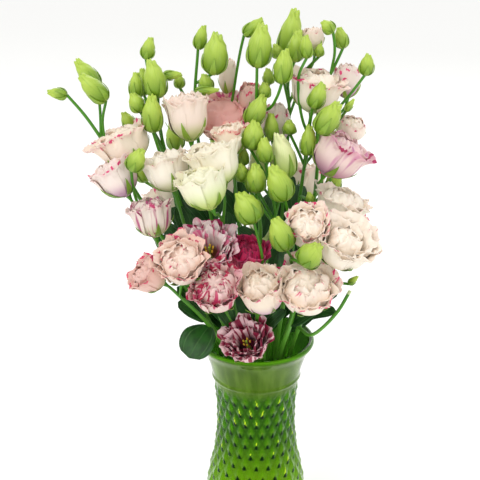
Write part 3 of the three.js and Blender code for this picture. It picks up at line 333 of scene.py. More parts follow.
# The room that a head takes: a rounded cone between two shares of its length, with a share of the
# head's radius at each.
BLOOM_ROOM = (0, 0.72, 0.2, 1.02)
BUD_ROOM = (0.1, 0.68, 0.6, 0.95)


def rooms(heads):
    """The two ends of each head's room, and the radius at each end."""
    shape = np.array([BLOOM_ROOM if head["bloom"] else BUD_ROOM for head in heads])
    radius = np.array([head["radius"] for head in heads])
    base = np.array([head["base"] for head in heads])
    tip = np.array([head["tip"] for head in heads])
    return (mixed(base, tip, shape[:, 0]), mixed(base, tip, shape[:, 1]),
            radius * shape[:, 2], radius * shape[:, 3])


def closest(p, q, r, s):
    """The shares along the segments p to q and r to s at which they come closest."""
    d1, d2, w = q - p, s - r, p - r
    a, b, c = (d1 * d1).sum(-1), (d1 * d2).sum(-1), (d2 * d2).sum(-1)
    d, e = (d1 * w).sum(-1), (d2 * w).sum(-1)
    tiny = 1e-9
    over = a * c - b * b
    u = np.where(over > tiny, np.clip((b * e - c * d) / np.maximum(over, tiny), 0, 1), 0)
    v = np.where(c > tiny, np.clip((b * u + e) / np.maximum(c, tiny), 0, 1), 0)
    u = np.where(a > tiny, np.clip((b * v - d) / np.maximum(a, tiny), 0, 1), 0)
    return u, v


def limited(vectors, most):
    """Vectors that are cut down to a length."""
    return vectors * np.minimum(1, most / np.maximum(length_of(vectors), 1e-12))[:, None]


# Heads that would touch slide apart, mostly along the line of sight, so that each stays where it
# shows in the picture.
HEAD_ROUNDS = 120
HEAD_SPACING = 1.2
SIGHT_SHARE = 0.45
SIDEWAYS_SHARE = 0.12
HEAD_STEP = 4


def slide_heads_apart(heads):
    one, two = np.triu_indices(len(heads), 1)
    for _ in range(HEAD_ROUNDS):
        low, high, narrow, wide = rooms(heads)
        u, v = closest(low[one], high[one], low[two], high[two])
        apart = mixed(low[two], high[two], v) - mixed(low[one], high[one], u)
        radii = narrow[one] + (wide[one] - narrow[one]) * u + narrow[two] + (wide[two] - narrow[two]) * v
        distance = length_of(apart)
        lack = np.maximum(radii + HEAD_SPACING - distance, 0)
        apart *= (lack / np.maximum(distance, 1))[:, None]
        sight = (apart @ AHEAD)[:, None] * AHEAD
        push = sight * SIGHT_SHARE + (apart - sight) * SIDEWAYS_SHARE
        shift = np.zeros((len(heads), 3))
        np.add.at(shift, one, -push)
        np.add.at(shift, two, push)
        for head, step in zip(heads, limited(shift, HEAD_STEP)):
            head["base"] = head["base"] + step
            head["tip"] = head["tip"] + step


def turned(place, degrees, scale, z):
    """A place in the vase's mouth, turned and drawn in, at a height."""
    angle = math.radians(degrees)
    x, y = place
    return np.array([scale * (x * math.cos(angle) - y * math.sin(angle)),
                     scale * (x * math.sin(angle) + y * math.cos(angle)), z])


def point_on(points, share):
    """The point at a share of a route's length."""
    lengths = length_of(np.diff(points, axis=0))
    ends = np.concatenate([[0], np.cumsum(lengths)])
    left = min(share, 1) * ends[-1]
    return np.array([np.interp(left, ends, points[:, k]) for k in range(3)])


# A stalk's points: it leaves along the stem and arrives in line with its head. Where the pixels
# that it passes are given, its depth changes evenly from the first of them to the head.
# Else it has a step for about each of these lengths of its reach, and from two to four of them.
STALK_STEP = 56
STALK_STEPS = (2, 4)
STALK_EASE = 0.3
SEAT_CLEARANCE = 0.55
FIRST_BEND_DEPTH = 0.35


def stalk_points(start, heading, head):
    """The points of a stalk, from the stem to its head."""
    arriving = unit(head["base"] - head["tip"])
    stop = head["base"] + arriving * (SEAT_CLEARANCE if head["bloom"] else 0)
    if head["via"]:
        bends = []
        for i, pixel in enumerate(head["via"]):
            share = 1 + (FIRST_BEND_DEPTH - 1) * (i + 1) / (len(head["via"]) + 1)
            bends.append(at(pixel, start[1] + (stop[1] - start[1]) * share))
        return np.array([start, *bends[::-1], stop])
    reach = np.linalg.norm(stop - start)
    leaving = start + heading * STALK_EASE * reach
    landing = stop + arriving * STALK_EASE * reach
    steps = min(max(int(reach / STALK_STEP + 0.5), STALK_STEPS[0]), STALK_STEPS[1])
    t = np.linspace(0, 1, steps + 1)[:, None]
    return ((1 - t) ** 3 * start + 3 * (1 - t) ** 2 * t * leaving
            + 3 * (1 - t) * t ** 2 * landing + t ** 3 * stop)


# No stalk leaves its stem beyond this share of the way from the fork to the stem's own head. It sets
# off in the stem's direction there, which is taken over the second share.
LAST_LEAVE = 0.9
LEAVE_HEADING_STEP = 0.1
# A stem's own route starts with its trunk: foot, waist, mouth, a midpoint and the fork.
MOUTH_POINT = 2
FORK_POINT = 4


def lay_routes(heads):
    """The routes of the stems and stalks. A stem's own route comes before its stalks."""
    routes = []
    for stem, (place, fork_pixel, depth) in STEMS.items():
        own = [head for head in heads if head["stem"] == stem]
        leader = next(head for head in own if head["leave"] == 1)
        mouth = turned(place, 0, 1, MOUTH_LEVEL)
        fork = at(fork_pixel, depth)
        trunk = [turned(place, FOOT_TURN, FOOT_SPREAD, GLASS_FLOOR + GAP),
                 turned(place, WAIST_TURN, WAIST_SQUEEZE, WATER_LEVEL),
                 mouth, (mouth + fork) / 2, fork]
        lead = stalk_points(fork, unit(fork - mouth), leader)
        own_route = {"stem": stem, "head": leader, "fixed": MOUTH_POINT + 1, "lead": None,
                     "points": np.array([*trunk, *lead[1:]])}
        routes.append(own_route)
        for head in own:
            if head is leader:
                continue
            share = LAST_LEAVE * head["leave"]
            start = point_on(lead, share)
            ahead = unit(point_on(lead, share + LEAVE_HEADING_STEP) - start)
            routes.append({"stem": stem, "head": head, "fixed": 1, "lead": own_route,
                           "share": share, "points": stalk_points(start, ahead, head)})
    return routes


# The routes bend clear of each other and of the heads, a little in each round.
BEND_ROUNDS = 70
BEND_STEP = 3
BEND_SHARE = 0.5
STRAIGHTENING = 0.04


def bend_routes_clear(routes, heads):
    low, high, narrow, wide = rooms(heads)
    counts = [len(route["points"]) for route in routes]
    starts = np.cumsum([0, *counts])
    last = starts[1:] - 1
    a = np.concatenate([np.arange(s, e) for s, e in zip(starts, last)])
    b = a + 1
    route_of = np.concatenate([[k] * (n - 1) for k, n in enumerate(counts)])
    stem_of = np.array([route["stem"] for route in routes])[route_of]
    index = {id(head): k for k, head in enumerate(heads)}
    head_of = np.array([index[id(route["head"])] for route in routes])[route_of]
    free = np.zeros(starts[-1], bool)
    for route, s, e in zip(routes, starts, last):
        free[s + route["fixed"]:e] = True
    inner = np.flatnonzero(free)
    one, two = np.triu_indices(len(a), 1)
    other_stem = stem_of[one] != stem_of[two]
    one, two = one[other_stem], two[other_stem]
    seg, space = pairs_of(len(a), len(heads))
    at_own_head = (head_of[seg] == space) & (b[seg] == last[route_of[seg]])
    seg, space = seg[~at_own_head], space[~at_own_head]

    def repel(p, q, r, s, need, radius):
        """Where two segments come closest, and the push that the first one gets there."""
        u, v = closest(p, q, r, s)
        apart = mixed(p, q, u) - mixed(r, s, v)
        distance = length_of(apart)
        lack = np.maximum(need + radius(v) - distance, 0)
        return u, v, apart * (BEND_SHARE * lack / np.maximum(distance, 0.5))[:, None]

    points = np.concatenate([route["points"] for route in routes])
    for _ in range(BEND_ROUNDS):
        push = np.zeros_like(points)
        u, v, shove = repel(points[a[one]], points[b[one]], points[a[two]], points[b[two]],
                            2 * FORK_STEM_RADIUS + STALK_SPACING, lambda share: 0)
        np.add.at(push, a[one], shove * (1 - u)[:, None])
        np.add.at(push, b[one], shove * u[:, None])
        np.add.at(push, a[two], -shove * (1 - v)[:, None])
        np.add.at(push, b[two], -shove * v[:, None])
        u, v, shove = repel(points[a[seg]], points[b[seg]], low[space], high[space],
                            FORK_STEM_RADIUS + STALK_SPACING,
                            lambda share: narrow[space] + (wide[space] - narrow[space]) * share)
        np.add.at(push, a[seg], shove * (1 - u)[:, None])
        np.add.at(push, b[seg], shove * u[:, None])
        smooth = ((points[inner - 1] + points[inner + 1]) / 2 - points[inner]) * STRAIGHTENING
        points[inner] += limited(push[inner], BEND_STEP) + smooth
        for k, route in enumerate(routes):
            route["points"] = points[starts[k]:starts[k + 1]]
        for k, route in enumerate(routes):
            if route["lead"]:
                points[starts[k]] = point_on(route["lead"]["points"][FORK_POINT:], route["share"])


heads = heads_of_the_bunch()
slide_heads_apart(heads)
routes = lay_routes(heads)
bend_routes_clear(routes, heads)


# Surfaces. A skin is a set of closed surfaces that becomes one mesh. Each corner of its faces has
# two pairs of surface coordinates: "sheet", the share across and up the petal, leaf or bud, and
# "grain", the same in millimetres, moved by chance so that no two parts have the same marks. A finish
# is the number of a material on its piece.

class Skin:
    """Closed surfaces that become one mesh."""

    def __init__(self):
        self.points, self.faces, self.sheets, self.grains, self.finishes = [], [], [], [], []
        self.count = 0

    def add(self, points, faces, sheet, grain, finish):
        self.points.append(points)
        self.faces.append(faces + self.count)
        self.sheets.append(sheet)
        self.grains.append(grain)
        self.finishes.append(np.full(len(faces), finish))
        self.count += len(points)


def corners_of(rows, columns):
    """The corners of the squares of a grid, as row and column."""
    i, j = pairs_of(rows - 1, columns - 1)
    return np.stack([i, i, i + 1, i + 1], 1), np.stack([j, j + 1, j + 1, j], 1)


def add_blade(skin, points, thickness, sheet, grain, finish):
    """A closed blade over a grid of points, thick along its normals."""
    rows, columns = points.shape[:2]
    up, across = np.gradient(points, axis=0), np.gradient(points, axis=1)
    normals = np.cross(across, up)
    normals /= np.maximum(length_of(normals), 1e-9)[..., None]
    taper = np.broadcast_to(np.asarray(thickness, float), (rows, columns))[..., None] / 2
    front, back = points + normals * taper, points - normals * taper
    i, j = corners_of(rows, columns)
    index = i * columns + j
    half = rows * columns
    edge_i = np.concatenate([np.zeros(columns - 1, int), np.arange(rows - 1),
                             np.full(columns - 1, rows - 1), np.arange(rows - 1, 0, -1)])
    edge_j = np.concatenate([np.arange(columns - 1), np.full(rows - 1, columns - 1),
                             np.arange(columns - 1, 0, -1), np.zeros(rows - 1, int)])
    here = edge_i * columns + edge_j
    there = np.roll(here, -1)
    faces = np.concatenate([index, index[:, ::-1] + half,
                            np.stack([here + half, there + half, there, here], 1)])
    flat = faces % half
    skin.add(np.concatenate([front.reshape(-1, 3), back.reshape(-1, 3)]), faces,
             sheet.reshape(-1, 2)[flat], grain.reshape(-1, 2)[flat], finish)


def add_tube(skin, rings, finish=0, grain_shift=(0, 0), sheet_end=1.0):
    """A closed round body over rings of points. The last point of a ring isn't its first again."""
    rows, sides = rings.shape[:2]
    i, j = corners_of(rows, sides + 1)
    faces = i * sides + j % sides
    heights = np.concatenate([[0], np.cumsum(length_of(np.diff(rings.mean(1), axis=0)))])
    girth = np.maximum(length_of(rings - rings.mean(1, keepdims=True)).max(), 0.1) * 2 * math.pi
    sheet = np.stack([j / sides, sheet_end * i / (rows - 1)], -1)
    grain = np.stack([girth * j / sides, heights[i]], -1) + grain_shift
    skin.add(rings.reshape(-1, 3), faces, sheet, grain, finish)
    for row, order in ((0, -1), (rows - 1, 1)):
        ring = np.arange(sides) + row * sides
        middle = rings[row].mean(0)
        ends = np.stack([ring, np.roll(ring, -1)], 1)
        points = np.concatenate([rings[row], middle[None]])
        local = ends - row * sides
        cap = np.stack([local[:, 0], local[:, 1], np.full(sides, sides), np.full(sides, sides)], 1)
        if order < 0:
            cap = cap[:, [1, 0, 2, 3]]
        share = np.full((sides, 4, 2), (0.5, sheet_end * row / (rows - 1)))
        skin.add(points, cap, share, share + grain_shift, finish)


def piece_of(skin, name, materials):
    """One mesh of a skin, which stands for the node of the same name."""
    faces = np.concatenate(skin.faces)
    doubled = faces[:, 2] == faces[:, 3]
    sizes = np.where(doubled, 3, 4)
    kept = np.ones(faces.shape, bool)
    kept[doubled, 3] = False
    mesh = bpy.data.meshes.new(name)
    mesh.vertices.add(skin.count)
    points = np.clip(np.concatenate(skin.points), BOX_LOW, BOX_HIGH) * MM
    mesh.vertices.foreach_set("co", points.astype(np.float32).ravel())
    corners = faces[kept]
    mesh.loops.add(len(corners))
    mesh.loops.foreach_set("vertex_index", corners.astype(np.int32))
    mesh.polygons.add(len(faces))
    mesh.polygons.foreach_set("loop_start", np.concatenate([[0], np.cumsum(sizes)[:-1]]).astype(np.int32))
    mesh.polygons.foreach_set("material_index", np.concatenate(skin.finishes).astype(np.int32))
    mesh.update(calc_edges=True)
    for title, parts in (("sheet", skin.sheets), ("grain", skin.grains)):
        layer = mesh.uv_layers.new(name=title)
        layer.data.foreach_set("uv", np.concatenate(parts)[kept].astype(np.float32).ravel())
    mesh.validate()
    mesh.shade_smooth()
    for material in materials:
        mesh.materials.append(material)
    piece = bpy.data.objects.new(name + "_finished", mesh)
    bpy.context.scene.collection.objects.link(piece)
    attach(piece, "root")
    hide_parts(name)
    return piece


def curve_between(first, second, first_slope, second_slope, span, t):
    """A smooth curve from one value to the next that leaves and arrives with the given slopes."""
    return ((2 * t ** 3 - 3 * t ** 2 + 1) * first + (t ** 3 - 2 * t ** 2 + t) * span * first_slope
            + (3 * t ** 2 - 2 * t ** 3) * second + (t ** 3 - t ** 2) * span * second_slope)


def smooth_value(pairs, position):
    """A smooth curve through a list of (position, value) pairs."""
    x, y = (np.array(column, float) for column in zip(*pairs))
    slopes = np.array([(y[min(k + 1, len(y) - 1)] - y[max(k - 1, 0)])
                       / (x[min(k + 1, len(x) - 1)] - x[max(k - 1, 0)]) for k in range(len(x))])
    position = np.asarray(position, float)
    i = np.clip(np.searchsorted(x, position, side="left") - 1, 0, len(x) - 2)
    span = x[i + 1] - x[i]
    t = np.clip((position - x[i]) / span, 0, 1)
    return curve_between(y[i], y[i + 1], slopes[i], slopes[i + 1], span, t)


def ease(low, high, x):
    """From 0 at low to 1 at high, with soft ends."""
    t = np.clip((x - low) / (high - low), 0, 1)
    return t * t * (3 - 2 * t)


# Finishes

def linear(code):
    """An sRGB hex colour as linear light, with its alpha of 1."""
    channels = [int(code[k:k + 2], 16) / 255 for k in (1, 3, 5)]
    return (*(c / 12.92 if c <= 0.04045 else ((c + 0.055) / 1.055) ** 2.4 for c in channels), 1.0)


def fit(tree, kind, inputs=(), **settings):
    """Adds a node with its settings, its values and its links from other nodes."""
    node = tree.nodes.new(kind)
    for key, value in settings.items():
        setattr(node, key, value)
    for key, value in dict(inputs).items():
        if isinstance(value, bpy.types.NodeSocket):
            tree.links.new(value, node.inputs[key])
        else:
            node.inputs[key].default_value = value
    return node


def new_finish(name):
    """A material without nodes, and its node tree."""
    material = bpy.data.materials.new(name)
    material.use_nodes = True
    material.node_tree.nodes.clear()
    return material, material.node_tree


def give_surface(tree, **surface):
    """Adds the shader with its values and links, and shows it on the surface."""
    shader = fit(tree, "ShaderNodeBsdfPrincipled",
                 {key.replace("_", " "): value for key, value in surface.items()})
    fit(tree, "ShaderNodeOutputMaterial", {"Surface": shader.outputs[0]})


def even_finish(name, **surface):
    """A finish without a pattern, for small or clear parts and for the floor."""
    material, tree = new_finish(name)
    give_surface(tree, **surface)
    return material


def painted(tree, under, colour, value, low, high, most=1.0):
    """Lays a colour over the one under it as a value goes from low to high, with soft edges."""
    share = fit(tree, "ShaderNodeMapRange",
                {"Value": value, "From Min": low, "From Max": high, "To Max": most},
                interpolation_type="SMOOTHSTEP")
    mix = fit(tree, "ShaderNodeMix", {"Factor": share.outputs[0], 6: under, 7: colour}, data_type="RGBA")
    return mix.outputs[2]


def marks(tree, size, detail=2.0, seed=0.0):
    """Chance marks on a petal, bud or leaf, whose size is their millimetres across and along it."""
    grain = fit(tree, "ShaderNodeUVMap", uv_map="grain")
    stretched = fit(tree, "ShaderNodeMapping",
                    {"Vector": grain.outputs[0], "Scale": (1 / size[0], 1 / size[1], 1),
                     "Location": (seed, seed, 0)})
    return fit(tree, "ShaderNodeTexNoise", {"Vector": stretched.outputs[0], "Scale": 1.0, "Detail": detail},
               noise_dimensions="2D").outputs["Fac"]


def surface_values(tree, title="sheet"):
    """The pair of values that a surface carries under a title."""
    carried = fit(tree, "ShaderNodeUVMap", uv_map=title)
    split = fit(tree, "ShaderNodeSeparateXYZ", {0: carried.outputs[0]})
    return split.outputs[0], split.outputs[1]


# A petal's marks in millimetres, across and along it. Real veins stand half a millimetre apart, which
# is too fine to show, so they are drawn twice as coarse.
VEIN_SIZE = (1.1, 16)
FLECK_SIZE = (7, 12)
FRAY_SIZE = (3.5, 14)
STRIPE_LENGTH = 44
# How far chance moves the edge of the margin's tint up or down, as a share of the petal's height.
FRAY = 0.15
# The margin's tint is full a little beyond the edge, and the claw's colour starts to fade this high.
MARGIN_TO = 1.08
CLAW_FROM = 0.08
# Marks show where a value between 0 and 1 passes a limit: the limit for none of them, and for all.
# Flecks have edges this soft, and fade out this far below the height where they start.
STRIPE_LIMITS = (0.62, 0.36)
FLECK_LIMITS = (0.72, 0.5)
FLECK_EDGE = 0.04
FLECK_FADE = 0.06


def limit_for(limits, share):
    """The value at which marks begin when they take up a share of the petal."""
    return limits[0] + (limits[1] - limits[0]) * share


def petal_finish(name, claw, body, margin, fleck, margin_from=0.8, fleck_from=0.95, fleck_share=0.5,
                 stripe=None, stripe_share=0.0, stripe_width=4.5, stripe_edge=0.07, claw_to=0.5):
    """A living petal: thin, soft and dull, with a tinted claw and a tint towards its frayed margin."""
    material, tree = new_finish(name)
    _, up = surface_values(tree)
    drift = fit(tree, "ShaderNodeMapRange",
                {"Value": marks(tree, FRAY_SIZE), "To Min": -FRAY, "To Max": FRAY})
    frayed = fit(tree, "ShaderNodeMath", {0: up, 1: drift.outputs[0]}, operation="ADD").outputs[0]
    tone = painted(tree, linear(claw), linear(body), up, CLAW_FROM, claw_to)
    if stripe:
        stripes = marks(tree, (stripe_width, STRIPE_LENGTH), detail=1.5, seed=7.3)
        limit = limit_for(STRIPE_LIMITS, stripe_share)
        tone = painted(tree, tone, linear(stripe), stripes, limit, limit + stripe_edge)
    tone = painted(tree, tone, linear(margin), frayed, margin_from, MARGIN_TO)
    near_margin = fit(tree, "ShaderNodeMapRange",
                      {"Value": frayed, "From Min": fleck_from - FLECK_FADE, "From Max": fleck_from},
                      interpolation_type="SMOOTHSTEP")
    flecks = marks(tree, FLECK_SIZE, detail=1.0, seed=3.1)
    limit = limit_for(FLECK_LIMITS, fleck_share)
    tone = painted(tree, tone, linear(fleck), flecks, limit, limit + FLECK_EDGE, near_margin.outputs[0])
    veins = marks(tree, VEIN_SIZE, seed=1.7)
    relief = fit(tree, "ShaderNodeBump", {"Height": veins, "Strength": 0.2, "Distance": 0.3 * MM})
    give_surface(tree, Base_Color=tone, Normal=relief.outputs[0], Roughness=0.55, IOR=1.4,
                 Subsurface_Weight=0.15, Subsurface_Scale=3 * MM, Subsurface_Radius=(1.0, 0.8, 0.7),
                 Sheen_Weight=0.1, Sheen_Roughness=0.5)
    return material


# The finishes of the petals, each with the colours of its claw, body, margin and flecks.
PETALS = {
    "cream": petal_finish("cream_petal", "#c9d684", "#f3ead2", "#f4e8d0", "#e6c4b6", fleck_share=0.1),
    "green_cream": petal_finish("greenish_cream_petal", "#b9d066", "#f0edce", "#f2ebd0", "#e6c4b6",
                                fleck_share=0.1, claw_to=0.8),
    "warm_cream": petal_finish("warm_cream_petal", "#d4cb9c", "#fbeedd", "#fae6d6", "#df8796",
                               fleck_share=0.2),
    "oyster": petal_finish("oyster_white_petal", "#cdd29c", "#f4ead8", "#f3dfcf", "#d67286", fleck_share=0.2),
    "beige": petal_finish("beige_pink_petal", "#b7c07c", "#eed9ca", "#edd0c2", "#cf8080", fleck_share=0.1),
    "blush": petal_finish("blush_white_petal", "#d3cf9f", "#f6e4d0", "#f4d0c6", "#dc3f73",
                           fleck_from=0.92, fleck_share=0.75),
    "pink_tipped": petal_finish("pink_tipped_petal", "#d6d3a6", "#faead9", "#f7d4c9", "#de2c70",
                                 fleck_from=0.92, fleck_share=0.75),
    "rosette_pink": petal_finish("rosette_pink_petal", "#d8c8a8", "#f1d9ca", "#ebbbaa", "#c23560",
                                 margin_from=0.74, fleck_from=0.9, fleck_share=0.7),
    "salmon_edged": petal_finish("salmon_edged_petal", "#cfc084", "#f8e8d4", "#e58e88", "#c8405a",
                                 margin_from=0.8, fleck_share=0.6),
    "lilac_blush": petal_finish("lilac_blush_petal", "#b988a8", "#eedcd2", "#eecaca", "#de4279",
                                fleck_from=0.92, fleck_share=0.8, claw_to=0.6),
    "lilac_cream": petal_finish("lilac_cream_petal", "#bb88a8", "#f2e0cc", "#eecfbe", "#d14e78",
                                fleck_share=0.6, claw_to=0.62),
    "shell_pink": petal_finish("shell_pink_petal", "#cbb088", "#e4baae", "#e2aea4", "#de3f68",
                                fleck_from=0.92, fleck_share=0.75),
    "streaked": petal_finish("pink_streaked_petal", "#c8cd96", "#e2d3c7", "#e6c4c0", "#b83a68",
                             fleck_share=0.5, stripe="#ad5277", stripe_share=0.34, stripe_width=5,
                             stripe_edge=0.14),
    "lilac": petal_finish("lilac_pink_petal", "#b97c9c", "#edd0ca", "#d896aa", "#ab2258",
                          margin_from=0.72, fleck_from=0.9, fleck_share=0.7, claw_to=0.6,
                          stripe="#c77aa4", stripe_share=0.35, stripe_width=9, stripe_edge=0.22),
    "rose": petal_finish("dusty_rose_petal", "#f4bcaa", "#f0b2ac", "#f6dada", "#c03a74",
                         margin_from=0.8, fleck_from=0.86, fleck_share=0.9),
    "crimson_flecked": petal_finish("crimson_flecked_petal", "#d9b09a", "#e8cac2", "#dd9aa4", "#a8143f",
                                    margin_from=0.76, fleck_from=0.82, fleck_share=0.75,
                                    stripe="#bb3460", stripe_share=0.25),
    "striped": petal_finish("magenta_striped_petal", "#7a4228", "#f6e4e2", "#e6a4b8", "#9a144a",
                            margin_from=0.84, fleck_from=0.86, fleck_share=0.7,
                            stripe="#d45e88", stripe_share=0.5, stripe_edge=0.2),
    "magenta": petal_finish("deep_magenta_petal", "#b0486f", "#d2225f", "#d44c80", "#8c1044",
                            margin_from=0.86, fleck_from=0.84, fleck_share=0.6,
                            stripe="#941648", stripe_share=0.36),
    "burgundy": petal_finish("burgundy_striped_petal", "#401520", "#f0c4ca", "#eac2c8", "#8a1238",
                             margin_from=0.86, fleck_from=0.82, fleck_share=0.8,
                             stripe="#8e163e", stripe_share=0.6, claw_to=0.5),
}


# Paler and darker blotches of a green part: their size in millimetres, and how much of the change in
# colour they make.
BLOTCH_SIZE = 11.11
BLOTCH_SHARE = 0.6


def green_finish(name, low, high, low_level, high_level, **surface):
    """Green skin of a stem or sepal, whose colour changes a little unevenly with the height in the bunch."""
    material, tree = new_finish(name)
    place = fit(tree, "ShaderNodeTexCoord").outputs["Object"]
    height = fit(tree, "ShaderNodeSeparateXYZ", {0: place}).outputs[2]
    rise = fit(tree, "ShaderNodeMapRange",
               {"Value": height, "From Min": low_level * MM, "From Max": high_level * MM,
                "To Min": -BLOTCH_SHARE / 2, "To Max": 1 - BLOTCH_SHARE / 2},
               interpolation_type="SMOOTHSTEP")
    blotches = fit(tree, "ShaderNodeTexNoise",
                   {"Vector": place, "Scale": 1 / (BLOTCH_SIZE * MM), "Detail": 2.0})
    share = fit(tree, "ShaderNodeMath",
                {0: blotches.outputs["Fac"], 1: BLOTCH_SHARE, 2: rise.outputs[0]}, operation="MULTIPLY_ADD")
    tone = painted(tree, linear(low), linear(high), share.outputs[0], 0, 1)
    give_surface(tree, Base_Color=tone, **surface)
    return material


# Living stem, smooth and a little waxy: pale where it leaves the vase, and a deeper green above.
STEM = green_finish("waxy_green_stem", "#5e9c31", "#438412", 255, 335, Roughness=0.36, IOR=1.45)
# Sepal, narrow and leathery: a fresh lime green.
SEPAL = green_finish("lime_sepal", "#5c8417", "#87a838", 300, 560, Roughness=0.45, IOR=1.45,
                     Subsurface_Weight=0.1, Subsurface_Scale=2 * MM, Subsurface_Radius=(0.6, 1.0, 0.3))
# Cut end of a stalk: pale dry pith.
CUT_PITH = green_finish("pale_cut_stalk", "#8fae62", "#c5d39c", 250, 330, Roughness=0.6, IOR=1.45)


LEAF_VEINS = 3
# How far a vein reaches to each side, as a share of the distance between two veins.
LEAF_VEIN_REACH = 0.09
LEAF_CLOUD_SIZE = (9, 14)


def leaf_finish():
    """A glaucous leaf blade: dark green, dulled by its wax, with three paler veins along it."""
    material, tree = new_finish("glaucous_leaf")
    across, _ = surface_values(tree)
    # The width is folded over itself, so that every vein lies at 0.
    side = fit(tree, "ShaderNodeMath", {0: across, 1: LEAF_VEINS, 2: -LEAF_VEINS / 2},
               operation="MULTIPLY_ADD")
    folded = fit(tree, "ShaderNodeMath", {0: side.outputs[0], 1: 0.5}, operation="PINGPONG").outputs[0]
    tone = painted(tree, linear("#0c3c06"), linear("#1f5614"), marks(tree, LEAF_CLOUD_SIZE, 3.0), 0.3, 0.7)
    tone = painted(tree, tone, linear("#5a8a48"), folded, LEAF_VEIN_REACH, 0, 0.3)
    vein = fit(tree, "ShaderNodeMapRange", {"Value": folded, "From Min": LEAF_VEIN_REACH, "From Max": 0},
               interpolation_type="SMOOTHSTEP")
    relief = fit(tree, "ShaderNodeBump", {"Height": vein.outputs[0], "Strength": 0.5, "Distance": 0.6 * MM},
                 invert=True)
    give_surface(tree, Base_Color=tone, Normal=relief.outputs[0], Roughness=0.5, IOR=1.4, Coat_Weight=0.08,
                 Coat_Roughness=0.35, Subsurface_Weight=0.06, Subsurface_Scale=1 * MM)
    return material


# The veins of a bud, in millimetres across and along it. They are drawn coarser too, so that they show.
BUD_VEIN_SIZE = (1.3, 30)


def bud_finish(name, low, high, vein):
    """Furled petals of a bud: satin, finely veined lengthwise, and paler from the base to the tip."""
    material, tree = new_finish(name)
    _, up = surface_values(tree)
    veins = marks(tree, BUD_VEIN_SIZE)
    tone = painted(tree, linear(low), linear(high), up, 0, 0.75)
    tone = painted(tree, tone, linear(vein), veins, 0.5, 0.8, 0.35)
    relief = fit(tree, "ShaderNodeBump", {"Height": veins, "Strength": 0.3, "Distance": 0.5 * MM})
    give_surface(tree, Base_Color=tone, Normal=relief.outputs[0], Roughness=0.4, IOR=1.42,
                 Subsurface_Weight=0.12, Subsurface_Scale=2 * MM, Subsurface_Radius=(0.7, 1.0, 0.3))
    return material


LEAF = leaf_finish()
LIME_BUD = bud_finish("lime_bud_petal", "#5f860f", "#b0c850", "#6c9420")
# A ripe bud has turned nearly white.
RIPE_BUD = bud_finish("ripening_bud_petal", "#98b640", "#e3e6ae", "#b9cc74")
GREENS = [STEM, SEPAL, LEAF, LIME_BUD, RIPE_BUD, CUT_PITH]
STEM_FINISH, SEPAL_FINISH, LEAF_FINISH, LIME_FINISH, RIPE_FINISH, PITH_FINISH = range(len(GREENS))

# Anthers: dry yellow pollen. Pistil: fresh green and smooth.
POLLEN = even_finish("yellow_pollen", Base_Color=linear("#e0b93a"), Roughness=0.8)
PISTIL = even_finish("green_pistil", Base_Color=linear("#8fae3c"), Roughness=0.4)
# A bloom's finishes are its petals', the pollen's and the pistil's.
PETAL_FINISH, POLLEN_FINISH, PISTIL_FINISH = range(3)

# The streaks in the vase's plain band, in millimetres: about as wide as two stems side by side.
STREAK_WIDTH = 9.09
STREAK_LENGTH = 142.9
# A glint is a painted highlight. It starts at the first of these values of the relief and is full at the
# second. It is painted brighter than the glass, and lets less light through.
GLINT_FROM, GLINT_TO = 1.2, 1.8
CLEAR_GLASS, CLEAR_GLINT = 0.66, 0.06


def glass_finish():
    """Pressed soda-lime glass, tinted green through, with sharp highlights. Its dark facets and grooves are
    painted shade; its bright tips, glints and lower part are painted light.
    """
    material, tree = new_finish("pressed_green_glass")
    shade, relief = surface_values(tree)
    plain, low = surface_values(tree, "grain")
    # The stems behind the plain band show as upright streaks.
    place = fit(tree, "ShaderNodeTexCoord").outputs["Object"]
    per_metre = (1 / (STREAK_WIDTH * MM), 1 / (STREAK_WIDTH * MM), 1 / (STREAK_LENGTH * MM))
    stretched = fit(tree, "ShaderNodeMapping", {"Vector": place, "Scale": per_metre})
    streaks = fit(tree, "ShaderNodeTexNoise", {"Vector": stretched.outputs[0], "Scale": 1.0, "Detail": 2.0})
    band = painted(tree, linear("#628e22"), linear("#8cb844"), streaks.outputs["Fac"], 0.35, 0.7)
    # Painted shade and light: the glass is painted darker along the grooves between the diamonds and lighter
    # towards their tips.
    tone = painted(tree, linear("#217402"), linear("#56ae08"), relief, 0.1, 0.6)
    tone = painted(tree, tone, linear("#8ccc2c"), relief, 0.65, 1)
    # The plain band gets its streaks, and the glass low down gets painted light: lighter and yellower.
    for share, colour in ((plain, band), (low, linear("#94d60a"))):
        mix = fit(tree, "ShaderNodeMix", {"Factor": share, 6: tone, 7: colour}, data_type="RGBA")
        tone = mix.outputs[2]
    # Painted shade: dark on the facets under the tips, and on the inside of the mouth where the stems stand
    # close.
    tone = painted(tree, tone, linear("#0b3304"), shade, 0.2, 0.8)
    tone = painted(tree, tone, linear("#bcdc24"), relief, GLINT_FROM, GLINT_TO)
    clear = fit(tree, "ShaderNodeMapRange",
                {"Value": relief, "From Min": GLINT_FROM, "From Max": GLINT_TO,
                 "To Min": CLEAR_GLASS, "To Max": CLEAR_GLINT}, interpolation_type="SMOOTHSTEP")
    # Its sheen is green, for most of it comes back from inside the wall, and least from the facets under
    # painted shade.
    sheen = fit(tree, "ShaderNodeMix",
                {"Factor": shade, 6: linear("#b8dc5c"), 7: linear("#1c2a10")}, data_type="RGBA")
    give_surface(tree, Base_Color=tone, Roughness=0.03, IOR=1.52, Transmission_Weight=clear.outputs[0],
                 Specular_Tint=sheen.outputs[2])
    return material


GLASS = glass_finish()
# Still water, almost without colour.
WATER = even_finish("still_water", Base_Color=linear("#eef8ea"), Roughness=0.0, IOR=1.33,
                    Transmission_Weight=1.0)


# Vase

FINE_COLUMNS = 12 * DIAMONDS_AROUND
FINE_STEP = 1.4
FOOT_STEPS = 5
LIP_STEPS = 10
WALL_STEPS = 60
